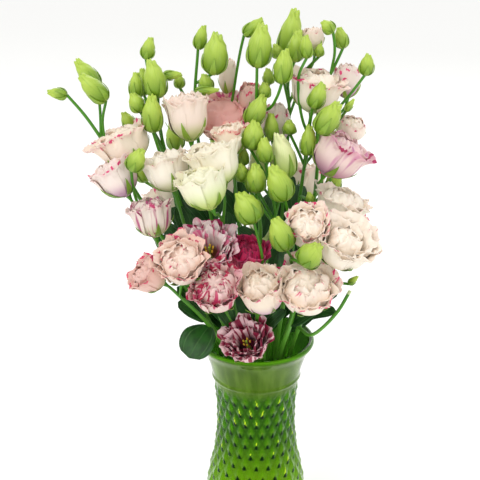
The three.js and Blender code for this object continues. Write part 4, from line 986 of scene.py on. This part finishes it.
# Rings on the flat faces: the underside's lies this far inside its edge, and the floor's have these radii.
UNDERSIDE = 20
FLOOR_RADII = (20, 2)
INNER_TOP = 238
LINE_HALF_WIDTH = 2.4
# The relief fades out over this height at each end.
RELIEF_FADE = 12
# How much darker the inside of the mouth is, where the stems stand close, and the heights over which
# it gets so.
MOUTH_SHADE = 0.75
MOUTH_SHADE_HEIGHTS = (190, 235)
# Painted light: the glass is painted lighter and yellower below the first of these heights, where light comes
# through the water, and this fades out up to the second.
LOW_LIGHT_HEIGHTS = (80, 160)
# Share of the relief at which plain glass lies: 0 in the grooves, 1 on the tips of the diamonds.
PLAIN_LEVEL = 0.5
# Two steps that give each diamond a number of its own, and two factors that make chance out of it.
NUMBER_STEPS = (57, 131)
SCATTER = (12.9898, 43.7)


def outside_radius(z):
    return smooth_value(VASE_OUTLINE, z)


def diamond_place(angle, z):
    """Where a point lies in its diamond, sideways and upwards from -1 to 1, and the diamond's number."""
    x = angle * DIAMONDS_AROUND / math.pi
    y = (z - RELIEF_FROM) * RELIEF_ROWS / (RELIEF_TO - RELIEF_FROM)
    a, b = (x + y) / 2 - 0.5, (x - y) / 2 - 0.5
    da, db = a - np.round(a), b - np.round(b)
    return da + db, da - db, np.round(a) * NUMBER_STEPS[0] + np.round(b) * NUMBER_STEPS[1]


def relief_height(angle, z):
    """Low pyramids on staggered diamonds: 1 at a tip and -1 along the grooves between them."""
    sideways, upwards, _ = diamond_place(angle, z)
    return 1 - 2 * (np.abs(sideways) + np.abs(upwards))


# A facet under each tip is painted dark: painted shade for the dark inside that it reflects. It is a
# triangle: where its point and its foot lie in the diamond, and half the width of its foot.
FACET_TOP, FACET_FOOT, FACET_WIDTH = -0.02, -0.6, 0.55
# Some diamonds get a painted glint, a painted highlight on one side: their share, and the slant of the glint.
# Its edges are soft, between two distances from its line and two shares of its length.
GLINT_SHARE = 0.34
GLINT_SLANT = 0.55
GLINT_SIDES = (0.02, 0.13)
GLINT_ENDS = (0.15, 0.5)


def shaded_facets(angle, z):
    """Painted shade: dark triangles that hang under the tips."""
    sideways, upwards, _ = diamond_place(angle, z)
    depth = (FACET_TOP - upwards) / (FACET_TOP - FACET_FOOT)
    edge = np.abs(sideways) / (FACET_WIDTH * np.clip(depth, 0.05, 1))
    return ease(0, 0.2, depth) * (1 - ease(0.9, 1.1, depth)) * (1 - ease(0.6, 1, edge))


def glints(angle, z):
    """Slanting painted glints, which run down towards the middle of the front and the back."""
    sideways, upwards, number = diamond_place(angle, z)
    chance = np.abs(np.sin(number * SCATTER[0])) * SCATTER[1] % 1
    middle = angle - sideways * math.pi / DIAMONDS_AROUND
    slant = -GLINT_SLANT * np.sign(np.sin(2 * middle) + 0.01)
    aside = np.abs(sideways - slant * upwards)
    size = 0.6 + 0.4 * np.sin(number)
    glint = (1 - ease(*GLINT_SIDES, aside)) * (1 - ease(*GLINT_ENDS, np.abs(upwards) / size))
    return (chance < GLINT_SHARE) * glint


def lathe(profile, columns):
    """Rings of points round the vase's axis, from a list of (height, radius) pairs."""
    angles = 2 * math.pi * np.arange(columns) / columns
    z, r = (np.array(column, float)[:, None] for column in zip(*profile))
    return np.stack([r * np.cos(angles), r * np.sin(angles), np.broadcast_to(z, (len(z), columns))], -1)


def vase_section():
    """The outside, lip and inside of the glass as (height, radius) pairs, from the underside to the floor."""
    foot = outside_radius(0) - FOOT_EDGE
    outside = [(0, foot - UNDERSIDE), (0, foot)]
    for angle in np.linspace(0.3, math.pi / 2, FOOT_STEPS):
        height = FOOT_EDGE * (1 - math.cos(angle))
        outside.append((height, outside_radius(height) - FOOT_EDGE * (1 - math.sin(angle))))
    rim_height, rim_radius = VASE_OUTLINE[-1]
    heights = np.arange(FOOT_EDGE + 1, rim_height + 0.01, FINE_STEP)
    from_line = np.abs(heights - RELIEF_TO - RAISED_LINE_ABOVE)
    line = RAISED_LINE_HEIGHT * (1 - ease(0, LINE_HALF_WIDTH, from_line))
    outside += list(zip(heights, outside_radius(heights) + line))
    turn = math.pi / 2 * np.linspace(0.15, 1, LIP_STEPS)
    lip = list(zip(rim_height + (VASE_HEIGHT - rim_height) * np.sin(turn),
                   LIP_RADIUS + (rim_radius - LIP_RADIUS) * np.cos(turn)))
    lip += list(zip(VASE_HEIGHT - LIP_ROUNDING * (1 - np.cos(turn)), LIP_RADIUS - LIP_WIDTH * np.sin(turn)))
    heights = np.linspace(INNER_TOP, GLASS_FLOOR + FLOOR_ROUNDING, WALL_STEPS)
    inside = list(zip(heights, outside_radius(heights) - GLASS_WALL))
    turn = math.pi / 2 * np.linspace(0.2, 1, FOOT_STEPS)
    corner = outside_radius(GLASS_FLOOR) - GLASS_WALL
    inside += list(zip(GLASS_FLOOR + FLOOR_ROUNDING * (1 - np.sin(turn)),
                       corner - FLOOR_ROUNDING * (1 - np.cos(turn))))
    inside += [(GLASS_FLOOR, radius) for radius in FLOOR_RADII]
    return outside, lip, inside


def dress_vase():
    outside, lip, inside = vase_section()
    rings = lathe(outside + lip + inside, FINE_COLUMNS)
    outer = slice(len(outside))
    outer_and_lip = slice(len(outside) + len(lip))
    inner = slice(len(outside) + LIP_STEPS, None)
    z = rings[outer, :, 2]
    angle = 2 * math.pi * np.arange(FINE_COLUMNS)[None] / FINE_COLUMNS
    fade = ease(RELIEF_FROM - RELIEF_FADE, RELIEF_FROM, z) * (1 - ease(RELIEF_TO - RELIEF_FADE, RELIEF_TO, z))
    radius = length_of(rings[outer, :, :2])
    scale = (radius + DIAMOND_HEIGHT * relief_height(angle, z) * fade) / radius
    rings[outer, :, :2] *= scale[..., None]
    skin = Skin()
    add_tube(skin, rings)
    # The glass carries four values to its finish: where painted shade lies, how its relief lies with the
    # painted glints on it, how plain it is, and how low it is, which sets the painted light low down.
    shade, relief, plain, low = np.zeros((4, *rings.shape[:2]))
    shade[outer] = shaded_facets(angle, z) * fade
    shade[inner] = MOUTH_SHADE * ease(*MOUTH_SHADE_HEIGHTS, rings[inner, :, 2])
    relief[outer_and_lip] = PLAIN_LEVEL
    relief[outer] += fade * (relief_height(angle, z) / 2 + 2 * glints(angle, z))
    plain[outer] = 1 - fade
    low[:] = 1 - ease(*LOW_LIGHT_HEIGHTS, rings[..., 2])
    for layer, pair in ((skin.sheets, (shade, relief)), (skin.grains, (plain, low))):
        layer[0] = np.stack(pair, -1).reshape(-1, 2)[skin.faces[0]]
    piece = piece_of(skin, "vase", [GLASS])


# The water's edge climbs the glass by this height, over this width. Water and glass overlap a little,
# so that no air shows between them.
MENISCUS_HEIGHT = 0.84
MENISCUS_WIDTH = 3
WATER_IN_GLASS = 0.1
WATER_SIDES = 96
WATER_STEPS = 50


def dress_water():
    heights = np.linspace(GLASS_FLOOR + FLOOR_ROUNDING, WATER_LEVEL, WATER_STEPS)
    wall = list(zip(heights, outside_radius(heights) - GLASS_WALL + WATER_IN_GLASS))
    share = np.linspace(0.2, 1, FOOT_STEPS)
    edge = outside_radius(WATER_LEVEL) - GLASS_WALL + WATER_IN_GLASS
    top = list(zip(WATER_LEVEL - MENISCUS_HEIGHT * share, edge - MENISCUS_WIDTH * share))
    top.append((WATER_LEVEL - MENISCUS_HEIGHT, FLOOR_RADII[1]))
    foot = outside_radius(GLASS_FLOOR) - GLASS_WALL - FLOOR_ROUNDING
    base = [(GLASS_FLOOR - WATER_IN_GLASS, FLOOR_RADII[1]), (GLASS_FLOOR - WATER_IN_GLASS, foot)]
    skin = Skin()
    add_tube(skin, lathe(base + wall + top, WATER_SIDES))
    piece = piece_of(skin, "water", [WATER])


# Green parts

STEM_SIDES = 10
STALK_SIDES = 8
ROUTE_STEPS = 7
# A bloom's stalk widens over this length to this radius, where the bloom sits on it.
SEAT_LENGTH = 5
SEAT_RADIUS = 2.9
BUD_COLUMNS = 30
BUD_ROWS = 20
BUD_PETALS = 5
# How many turns a bud's petals wind round it.
BUD_TURNS = 0.55
# Bud: share of its length and of its half width.
BUD_OUTLINE = [(0, 0.34), (0.06, 0.62), (0.16, 0.88), (0.34, 1), (0.54, 0.95), (0.7, 0.78),
               (0.82, 0.58), (0.91, 0.46), (0.97, 0.42), (1, 0.34)]
NOTCH_DEPTH = 0.1
# How far one petal's edge stands off the next one in a bud, as a share of its radius: at the base, and
# how much more at the tip.
LAP_AT_BASE, LAP_TO_TIP = 0.05, 0.22
# Marks are moved by up to this many millimetres, so that no two parts have the same ones.
GREEN_SHIFT, PETAL_SHIFT = 500, 900


def paired(first, second):
    """Two grids of values as one grid of pairs."""
    return np.stack(np.broadcast_arrays(first, second), -1)


def smooth_route(points, values):
    """A smooth line through points, with a value carried along."""
    spans = length_of(np.diff(points, axis=0))
    slopes = np.diff(points, axis=0) / spans[:, None]
    tangents = np.empty_like(points)
    tangents[0], tangents[-1] = slopes[0], slopes[-1]
    before, after = spans[:-1, None], spans[1:, None]
    tangents[1:-1] = (slopes[:-1] * after + slopes[1:] * before) / (before + after)
    line, carried = [], []
    for i, span in enumerate(spans):
        t = np.linspace(0, 1, ROUTE_STEPS, endpoint=False)[:, None]
        line.append(curve_between(points[i], points[i + 1], tangents[i], tangents[i + 1], span, t))
        carried.append(values[i] + (values[i + 1] - values[i]) * t[:, 0])
    return np.concatenate([*line, points[-1:]]), np.concatenate([*carried, values[-1:]])


def rings_along(points, radii, sides):
    """Rings of points round a line, which turn with it as little as they can."""
    normal = np.array([1.0, 0.3, 0.2])
    tangents = np.gradient(points, axis=0)
    angles = 2 * math.pi * np.arange(sides) / sides
    rings = []
    for point, tangent, radius in zip(points, tangents, radii):
        tangent = unit(tangent)
        normal = unit(normal - tangent * (normal @ tangent))
        side = np.cross(tangent, normal)
        rings.append(point + radius * (np.cos(angles)[:, None] * normal + np.sin(angles)[:, None] * side))
    return np.array(rings)


def axes_of(head):
    """A head's own axes: along, and two across."""
    axis = unit(head["tip"] - head["base"])
    side = np.cross([0.0, 0.0, 1.0], axis)
    side = unit(side) if np.linalg.norm(side) > 0.1 else np.array([1.0, 0.0, 0.0])
    return axis, side, np.cross(axis, side)


def around(head, height, radius, angle):
    """Points at heights on a head's axis, radii and angles."""
    axis, side, front = axes_of(head)
    height, radius, angle = (np.asarray(a)[..., None] for a in (height, radius, angle))
    return head["base"] + axis * height + radius * (side * np.cos(angle) + front * np.sin(angle))


def furled_rings(head, outline, width, top, chance):
    """Rings of petals wrapped round each other, whose tips leave notches. Width and top are shares."""
    length = np.linalg.norm(head["tip"] - head["base"])
    share = 1 - (1 - np.linspace(0, 1, BUD_ROWS)) ** 1.25
    turn = chance.random()
    angle = 2 * math.pi * np.arange(BUD_COLUMNS)[None] / BUD_COLUMNS
    lap = (BUD_PETALS * angle / (2 * math.pi) + turn + BUD_PETALS * BUD_TURNS * share[:, None] ** 1.5) % 1
    step = (0.5 - lap) * ease(0, 0.12, lap) * (LAP_AT_BASE + LAP_TO_TIP * share[:, None] ** 2)
    radius = head["radius"] * width * smooth_value(outline, share)[:, None] * (1 + step)
    notch = NOTCH_DEPTH * np.abs(2 * lap - 1) ** 1.5 + 0.04 * np.sin(angle + 6 * turn)
    height = share[:, None] * length * top * (1 - notch * ease(0.7, 1, share[:, None]))
    return around(head, height, radius, angle)


SEPALS = 5
SEPAL_COLUMNS = 5
SEPAL_ROWS = 9
SEPAL_THICKNESS = 0.5
# Sepals reach this share of a head's length, and their half width grows by this share of its radius.
BLOOM_SEPAL = (0.46, 0.11)
BUD_SEPAL = (0.55, 0.2)
SEPAL_HALF_WIDTH = 0.9
SEPAL_TIP = 0.08


def add_sepals(skin, head, chance):
    """Five narrow pointed sepals that clasp a bud, or spread below a bloom."""
    length = np.linalg.norm(head["tip"] - head["base"])
    share = np.linspace(0, 1, SEPAL_ROWS)[:, None]
    across = np.linspace(-1, 1, SEPAL_COLUMNS)[None]
    reach, widening = BLOOM_SEPAL if head["bloom"] else BUD_SEPAL
    reach *= 0.85 + 0.3 * chance.random()
    full_width = SEPAL_HALF_WIDTH + widening * head["radius"]
    half = full_width * (1 - share ** 1.6) * (0.55 + 0.45 * ease(0, 0.2, share)) + SEPAL_TIP
    for k in range(SEPALS):
        middle = 2 * math.pi * (k + 0.5 + 0.12 * (chance.random() - 0.5)) / SEPALS
        up = share * reach * (0.9 + 0.2 * chance.random())
        if head["bloom"]:
            wall = head["radius"] * smooth_value(CUP_OUTLINE[head["opened"]], up) * (1 + SPIRAL_STEP)
        else:
            wall = head["radius"] * smooth_value(BUD_OUTLINE, up) * 1.03
        stray = 0.5 + 2.2 * chance.random() if head["bloom"] else 0
        off = 0.3 + stray * ease(0.45, 1, share) * (head["radius"] / 18)
        radius = np.maximum(wall + off, STALK_RADIUS)
        rows = around(head, up * length + 0 * across, radius + 0.25 * (across ** 2) * half,
                      middle + across * half / radius)
        grain = paired(across * half, up * length) + chance.random(2) * GREEN_SHIFT
        add_blade(skin, rows, SEPAL_THICKNESS, paired(across / 2 + 0.5, share), grain, SEPAL_FINISH)


def route_radii(route):
    """A route's radius at each of its points: a stem grows thinner above its fork."""
    count = len(route["points"])
    if route["fixed"] == 1:
        return np.full(count, STALK_RADIUS)
    above = np.linspace(0, 1, count - FORK_POINT)
    return np.concatenate([[STEM_RADIUS, STEM_RADIUS, MOUTH_STEM_RADIUS, MOUTH_STEM_RADIUS],
                           FORK_STEM_RADIUS + (STALK_RADIUS - FORK_STEM_RADIUS) * above])


def add_stalk(skin, route, chance):
    """A stem or stalk with its bud, or with the seat and sepals of its bloom."""
    head, points, radii = route["head"], route["points"], route_radii(route)
    if head["bloom"]:
        axis = axes_of(head)[0]
        points = np.concatenate([points[:-1], [points[-1] - axis * SEAT_LENGTH], points[-1:]])
        radii = np.append(radii, SEAT_RADIUS)
    line, girth = smooth_route(points, radii)
    sides = STALK_SIDES if route["fixed"] == 1 else STEM_SIDES
    add_tube(skin, rings_along(line, girth, sides), STEM_FINISH, chance.random(2) * GREEN_SHIFT)
    if not head["bloom"]:
        finish = RIPE_FINISH if head["ripe"] > 0.5 else LIME_FINISH
        bud = furled_rings(head, BUD_OUTLINE, 1, 1, chance)
        add_tube(skin, bud, finish, chance.random(2) * GREEN_SHIFT)
    add_sepals(skin, head, chance)


LEAF_COLUMNS = 11
LEAF_ROWS = 18
# A leaf's upper face looks up and to the front.
LEAF_FACING = np.array([0, -0.55, 0.85])
LEAF_ARCH = 0.1
LEAF_FOLD = 0.2
LEAF_THICKNESS = 0.8
LEAF_EDGE = 0.3
LEAF_RIPPLE = 0.035
# A leaf widens and narrows with these powers of the share of its length. With this factor it comes to
# about nine tenths of its width.
LEAF_FORM = (0.62, 0.42)
LEAF_FULLNESS = 1.8421


def add_leaf(skin, leaf, trunk, chance):
    """An arched leaf that grows from the nearest place on its stem."""
    _, base, base_depth, tip, tip_depth, width = leaf
    target, end = at(base, base_depth), at(tip, tip_depth)
    shares, _ = closest(trunk[:-1], trunk[1:], target[None], target[None])
    spots = mixed(trunk[:-1], trunk[1:], shares)
    start = spots[np.argmin(length_of(spots - target))]
    axis = unit(end - start)
    across_axis = unit(np.cross(axis, LEAF_FACING))
    face = unit(np.cross(across_axis, axis))
    reach = np.linalg.norm(end - start)
    share = np.linspace(0, 1, LEAF_ROWS)[:, None]
    across = np.linspace(-1, 1, LEAF_COLUMNS)[None]
    form = share ** LEAF_FORM[0] * (1 - share) ** LEAF_FORM[1]
    half = width / 2 * LEAF_FULLNESS * form + LEAF_EDGE
    bow = LEAF_ARCH * reach * np.sin(math.pi * share)
    ripple = LEAF_RIPPLE * width * np.sin(9 * share + 6 * chance.random()) * across ** 2
    fold = LEAF_FOLD * half * np.abs(across) ** 1.5 + ripple * np.sin(math.pi * share)
    rows = (start + axis * (reach * share)[..., None] + across_axis * (across * half)[..., None]
            + face * (bow + fold)[..., None])
    grain = paired(across * half, share * reach) + chance.random(2) * GREEN_SHIFT
    add_blade(skin, rows, LEAF_THICKNESS, paired(across / 2 + 0.5, share), grain, LEAF_FINISH)


STEM_SEED = 100


def dress_stem(number, stem):
    chance = np.random.default_rng(STEM_SEED + number)
    skin = Skin()
    own = [route for route in routes if route["stem"] == stem]
    for route in own:
        add_stalk(skin, route, chance)
    trunk = own[0]["points"]
    for leaf in LEAVES + INNER_LEAVES:
        if leaf[0] == stem:
            add_leaf(skin, leaf, trunk[MOUTH_POINT:], chance)
    if stem == CUT_STALK["stem"]:
        joint = point_on(trunk[MOUTH_POINT:FORK_POINT + 1], CUT_STALK["leave"])
        line = np.array([joint, *(at(pixel, CUT_STALK["depth"]) for pixel in CUT_STALK["route"])])
        line, girth = smooth_route(line, np.full(len(line), CUT_STALK["radius"]))
        rings = rings_along(line, girth, STALK_SIDES)
        add_tube(skin, rings[:-1], STEM_FINISH)
        add_tube(skin, rings[-2:], PITH_FINISH)
    piece = piece_of(skin, f"leafy_stem_{stem[1:]}", GREENS)


# Blooms

# Each petal laps over the next: its two sides stand in and out by this share of the bloom's radius.
SPIRAL_STEP = 0.05
PETAL_THICKNESS = 0.5
# Cup: share of the bloom's length and of its radius, for each stage of opening.
CUP_OUTLINE = {
    TIGHT: [(0, 0.12), (0.1, 0.5), (0.28, 0.82), (0.5, 0.96), (0.75, 0.93), (1, 0.8)],
    HALF: [(0, 0.12), (0.1, 0.46), (0.25, 0.72), (0.45, 0.85), (0.75, 0.91), (1, 1)],
    WIDE: [(0, 0.12), (0.1, 0.46), (0.25, 0.72), (0.45, 0.85), (0.75, 0.93), (1, 1.04)],
}
# A furled petal bulges and then closes over the heart.
FURLED_OUTLINE = [(0, 0.12), (0.12, 0.5), (0.3, 0.8), (0.55, 1), (0.78, 0.96), (0.92, 0.78), (1, 0.55)]
# The hearts of the blooms: the whorls inside the outer one, from the outside in. Each has its number of
# petals, radius, height, whether they are furled, ruffle, and how far a petal may stand off by chance.
FURLED, SPREAD = True, False
WHORLS = {
    "bud_heart": [(4, 0.74, 0.99, FURLED, 0.03, 0.03)],
    "rosette": [(4, 0.88, 0.98, SPREAD, 0.1, 0.07), (4, 0.78, 0.97, FURLED, 0.1, 0.07),
                (3, 0.58, 1, FURLED, 0.08, 0.07)],
    "open": [(4, 0.9, 0.98, SPREAD, 0.12, 0.08), (4, 0.76, 0.96, SPREAD, 0.12, 0.08),
             (3, 0.5, 0.96, FURLED, 0.1, 0.08)],
    "bowl": [(4, 0.9, 0.9, SPREAD, 0.09, 0.05)],
    "throat": [(4, 0.78, 0.97, SPREAD, 0.09, 0.06), (4, 0.56, 0.9, SPREAD, 0.1, 0.06)],
}
# The petals in the middle of a furled heart are still wrapped like a bud: width and height as shares.
CORE_OUTLINE = [(0, 0.3), (0.3, 0.9), (0.6, 1), (0.82, 0.94), (0.93, 0.74), (1, 0.3)]
CORES = {"bud_heart": (0.62, 0.95), "rosette": (0.74, 0.94), "open": (0.5, 0.92), "bowl": (0.88, 0.88)}
# Numbers of the blooms whose hearts have opened further than the others'.
OPENED_HEARTS = {5: "bowl", 20: "throat", 25: "open", 27: "throat"}
# The same values for the outer whorl at each stage of opening, after its number of petals.
OUTER_WHORL = {
    TIGHT: (1, 1, SPREAD, 0.03, 0.04),
    HALF: (1, 1, SPREAD, 0.065, 0.08),
    WIDE: (1, 1, SPREAD, 0.11, 0.13),
}
# Rows and columns of points on an outer petal and on an inner one.
OUTER_GRID = (14, 31)
INNER_GRID = (12, 17)
# A petal is this many times as wide as its part of the circle. Its top drops towards its sides by a
# share of its height, and may be lower by a share of it by chance.
PETAL_LAP = 1.36
RIM_DROP = 0.13
UNEVEN_TOP = 0.14
# How far a petal winds round the bloom from its base to its top, in radians, and how much by chance.
FURL_TWIST = 0.55
SPREAD_TWIST = 0.1
CHANCE_TWIST = 0.12
# The ruffles of its edge: how many waves lie across the petal, and how strong they are. The fringe: its
# three waves, in radians over half the petal's width, and the depth of its teeth in millimetres.
RUFFLES = ((1.7, 1), (3.9, 0.5), (8.3, 0.22))
TEETH = (17, 29, 47)
FRINGE_DEPTH = 1.1
# The claw and margin are tinted by the share of a petal's height. The inner petals and the core stop at
# a smaller share, so that they have fewer flecks, and a furled petal starts higher, as its claw is hidden.
INNER_TINT = 0.85
CORE_TINT = 0.74
HIDDEN_CLAW = 0.4
# A petal's place in its whorl varies by this share of the petals' spacing, and each whorl is turned from
# the one outside it by about the golden angle.
UNEVEN_SPACING = 0.16
WHORL_TURN = 2.4
BLOOM_SEED = 500


def add_petal(skin, bloom, whorl, middle, grid, chance):
    """A petal on its bloom's cup, or bulging over its heart, with a ruffled and fringed edge."""
    count, size, top, furled, ruffle, stray = whorl
    length, radius = np.linalg.norm(bloom["tip"] - bloom["base"]), bloom["radius"]
    share = 1 - (1 - np.linspace(0, 1, grid[0])[:, None]) ** 1.4
    across = np.linspace(-1, 1, grid[1])[None]
    shoulder = 1 - RIM_DROP * np.abs(across) ** 2.4 * (0.6 + 0.8 * chance.random())
    rise = share * shoulder
    half = math.pi / count * PETAL_LAP * (0.82 + 0.18 * ease(0, 0.5, share))
    wound = FURL_TWIST if furled else SPREAD_TWIST
    twist = wound * rise ** 2 + CHANCE_TWIST * (chance.random() - 0.5) * share
    angle = middle + across * half + twist
    phases = 2 * math.pi * chance.random(6)
    waves = sum(strength * np.sin(number * math.pi * across + phase)
                for (number, strength), phase in zip(RUFFLES, phases))
    free = ease(0.45, 1, rise) * rise
    lean = stray * (2 * chance.random() - 0.7) * rise ** 2
    outline = FURLED_OUTLINE if furled else CUP_OUTLINE[bloom["opened"]]
    wall = smooth_value(outline, rise)
    narrow = size if furled else 1 - (1 - size) * ease(0, 0.35, rise)
    opening = (bloom["opened"] - TIGHT) / (WIDE - TIGHT)
    flare = 0 if furled else (0.03 + 0.07 * chance.random()) * opening * ease(0.8, 1, rise) ** 1.5
    step = (2.2 if furled else 1) * SPIRAL_STEP * across * (0.4 + 0.6 * size) * ease(0, 0.3, rise)
    out = wall * narrow + step + lean + ruffle * waves * free + flare
    out = out * (1 - 0.05 * across ** 2 * ease(0.2, 0.7, rise))
    coarse, fine, finest = (np.sin(turns * across + phase) for turns, phase in zip(TEETH, phases[3:]))
    teeth = coarse * fine + 0.5 * finest
    tall = top - (0 if furled else UNEVEN_TOP * chance.random())
    height = rise * length * tall + 0.04 * length * free * np.cos(2.3 * math.pi * across + phases[1])
    height = height - 0.02 * length * free - FRINGE_DEPTH * np.clip(0.6 - teeth, 0, 2) * ease(0.85, 1, share)
    rows = around(bloom, np.minimum(height, length * 1.01), np.maximum(out, 0.03) * radius, angle)
    hidden = HIDDEN_CLAW if furled else 0
    tinted = share if grid == OUTER_GRID else (hidden + (1 - hidden) * share) * INNER_TINT
    grain = paired(across * half * size * radius, rise * length) + chance.random(2) * PETAL_SHIFT
    thickness = PETAL_THICKNESS * (1 - 0.5 * ease(0.7, 1, share)) + 0 * across
    add_blade(skin, rows, thickness, paired(across / 2 + 0.5, tinted), grain, PETAL_FINISH)


STAMENS = 5
PISTIL_SIDES = 8
PISTIL_RADII = np.array([2.4, 2.6, 1.6, 0.9, 0.8, 1.5, 1.0])
ANTHER_SIDES = 6
ANTHER_RADII = np.array([0.4, 1.0, 1.0, 0.4])
# An anther's points: shares of the bloom's length, and of its radius.
ANTHER_HEIGHTS = np.array([0.5, 0.53, 0.6, 0.63])
ANTHER_PLACES = np.array([0.13, 0.14, 0.16, 0.17])


def add_heart(skin, bloom, chance):
    """Five stamens and the pistil in the throat of an open bloom."""
    length, radius = np.linalg.norm(bloom["tip"] - bloom["base"]), bloom["radius"]
    share = np.linspace(0, 1, len(PISTIL_RADII))
    pistil = around(bloom, length * (0.1 + 0.55 * share), 0 * share, 0 * share)
    add_tube(skin, rings_along(pistil, PISTIL_RADII, PISTIL_SIDES), PISTIL_FINISH)
    for k in range(STAMENS):
        angle = np.full(len(ANTHER_RADII), 2 * math.pi * (k + chance.random() * 0.4) / STAMENS)
        anther = around(bloom, length * ANTHER_HEIGHTS, radius * ANTHER_PLACES, angle)
        add_tube(skin, rings_along(anther, ANTHER_RADII, ANTHER_SIDES), POLLEN_FINISH)


def dress_bloom(number, bloom):
    chance = np.random.default_rng(BLOOM_SEED + number)
    skin = Skin()
    turn = chance.random() * 2 * math.pi
    usual = "bud_heart" if bloom["opened"] == TIGHT else "rosette"
    heart = OPENED_HEARTS.get(number, usual)
    outer = (bloom["outer"], *OUTER_WHORL[bloom["opened"]])
    for whorl in [outer, *WHORLS[heart]]:
        turn += WHORL_TURN
        for k in range(whorl[0]):
            middle = turn + 2 * math.pi * (k + UNEVEN_SPACING * (chance.random() - 0.5)) / whorl[0]
            add_petal(skin, bloom, whorl, middle, OUTER_GRID if whorl is outer else INNER_GRID, chance)
    if heart == "throat":
        add_heart(skin, bloom, chance)
    else:
        core = furled_rings(bloom, CORE_OUTLINE, *CORES[heart], chance)
        add_tube(skin, core, PETAL_FINISH, chance.random(2) * PETAL_SHIFT, CORE_TINT)
    piece = piece_of(skin, bloom["name"], [PETALS[bloom["finish"]], POLLEN, PISTIL])


dress_vase()
dress_water()
for number, stem in enumerate(STEMS):
    dress_stem(number, stem)
for number, bloom in enumerate((head for head in heads if head["bloom"]), 1):
    dress_bloom(number, bloom)


# Studio, in metres

FLOOR_REACH = 30.0
# Lights: place, size, and power in watts.
LIGHTS = {
    "key": ((-0.9, -1.3, 1.9), 1.2, 15),
    "fill": ((1.3, -1.0, 1.0), 1.4, 3),
    "back": ((0.4, 1.4, 1.5), 1.2, 8),
}
LIT_POINT = (0, 0, 0.4)
AIR_LIGHT = 0.97


def lay_floor():
    """A plain, flat, near-white paper floor, dull enough to show no reflection."""
    mesh = bpy.data.meshes.new("floor")
    corners = [(x * FLOOR_REACH, y * FLOOR_REACH, 0) for x, y in ((-1, -1), (1, -1), (1, 1), (-1, 1))]
    mesh.from_pydata(corners, [], [(0, 1, 2, 3)])
    mesh.materials.append(even_finish("white_paper_floor", Base_Color=linear("#fbfbf9"), Roughness=0.9))
    floor = bpy.data.objects.new("floor", mesh)
    bpy.context.scene.collection.objects.link(floor)


def hang_light(name, place, size, watts):
    """A soft square lamp that is turned to the bouquet."""
    lamp = bpy.data.lights.new(name, "AREA")
    lamp.size, lamp.energy = size, watts
    holder = bpy.data.objects.new(name, lamp)
    holder.location = place
    direction = np.array(LIT_POINT, float) - np.array(place, float)
    holder.rotation_euler = (math.atan2(math.hypot(*direction[:2]), -direction[2]), 0,
                             math.atan2(-direction[0], direction[1]))
    bpy.context.scene.collection.objects.link(holder)


def light_studio():
    world = bpy.data.worlds.new("studio")
    world.use_nodes = True
    air = world.node_tree.nodes["Background"]
    air.inputs["Color"].default_value = (1, 1, 1, 1)
    air.inputs["Strength"].default_value = AIR_LIGHT
    bpy.context.scene.world = world
    for name, (place, size, watts) in LIGHTS.items():
        hang_light(name, place, size, watts)


def set_camera():
    camera = bpy.data.objects.new("camera", bpy.data.cameras.new("camera"))
    camera.data.sensor_width = 36
    camera.data.lens = camera.data.sensor_width * FOCAL_PIXELS / PICTURE_SIZE
    camera.location = EYE * MM
    camera.rotation_euler = (math.pi / 2 - EYE_PITCH, 0, 0)
    bpy.context.scene.collection.objects.link(camera)
    bpy.context.scene.camera = camera


lay_floor()
light_studio()
set_camera()
bpy.context.scene.view_settings.view_transform = "Standard"
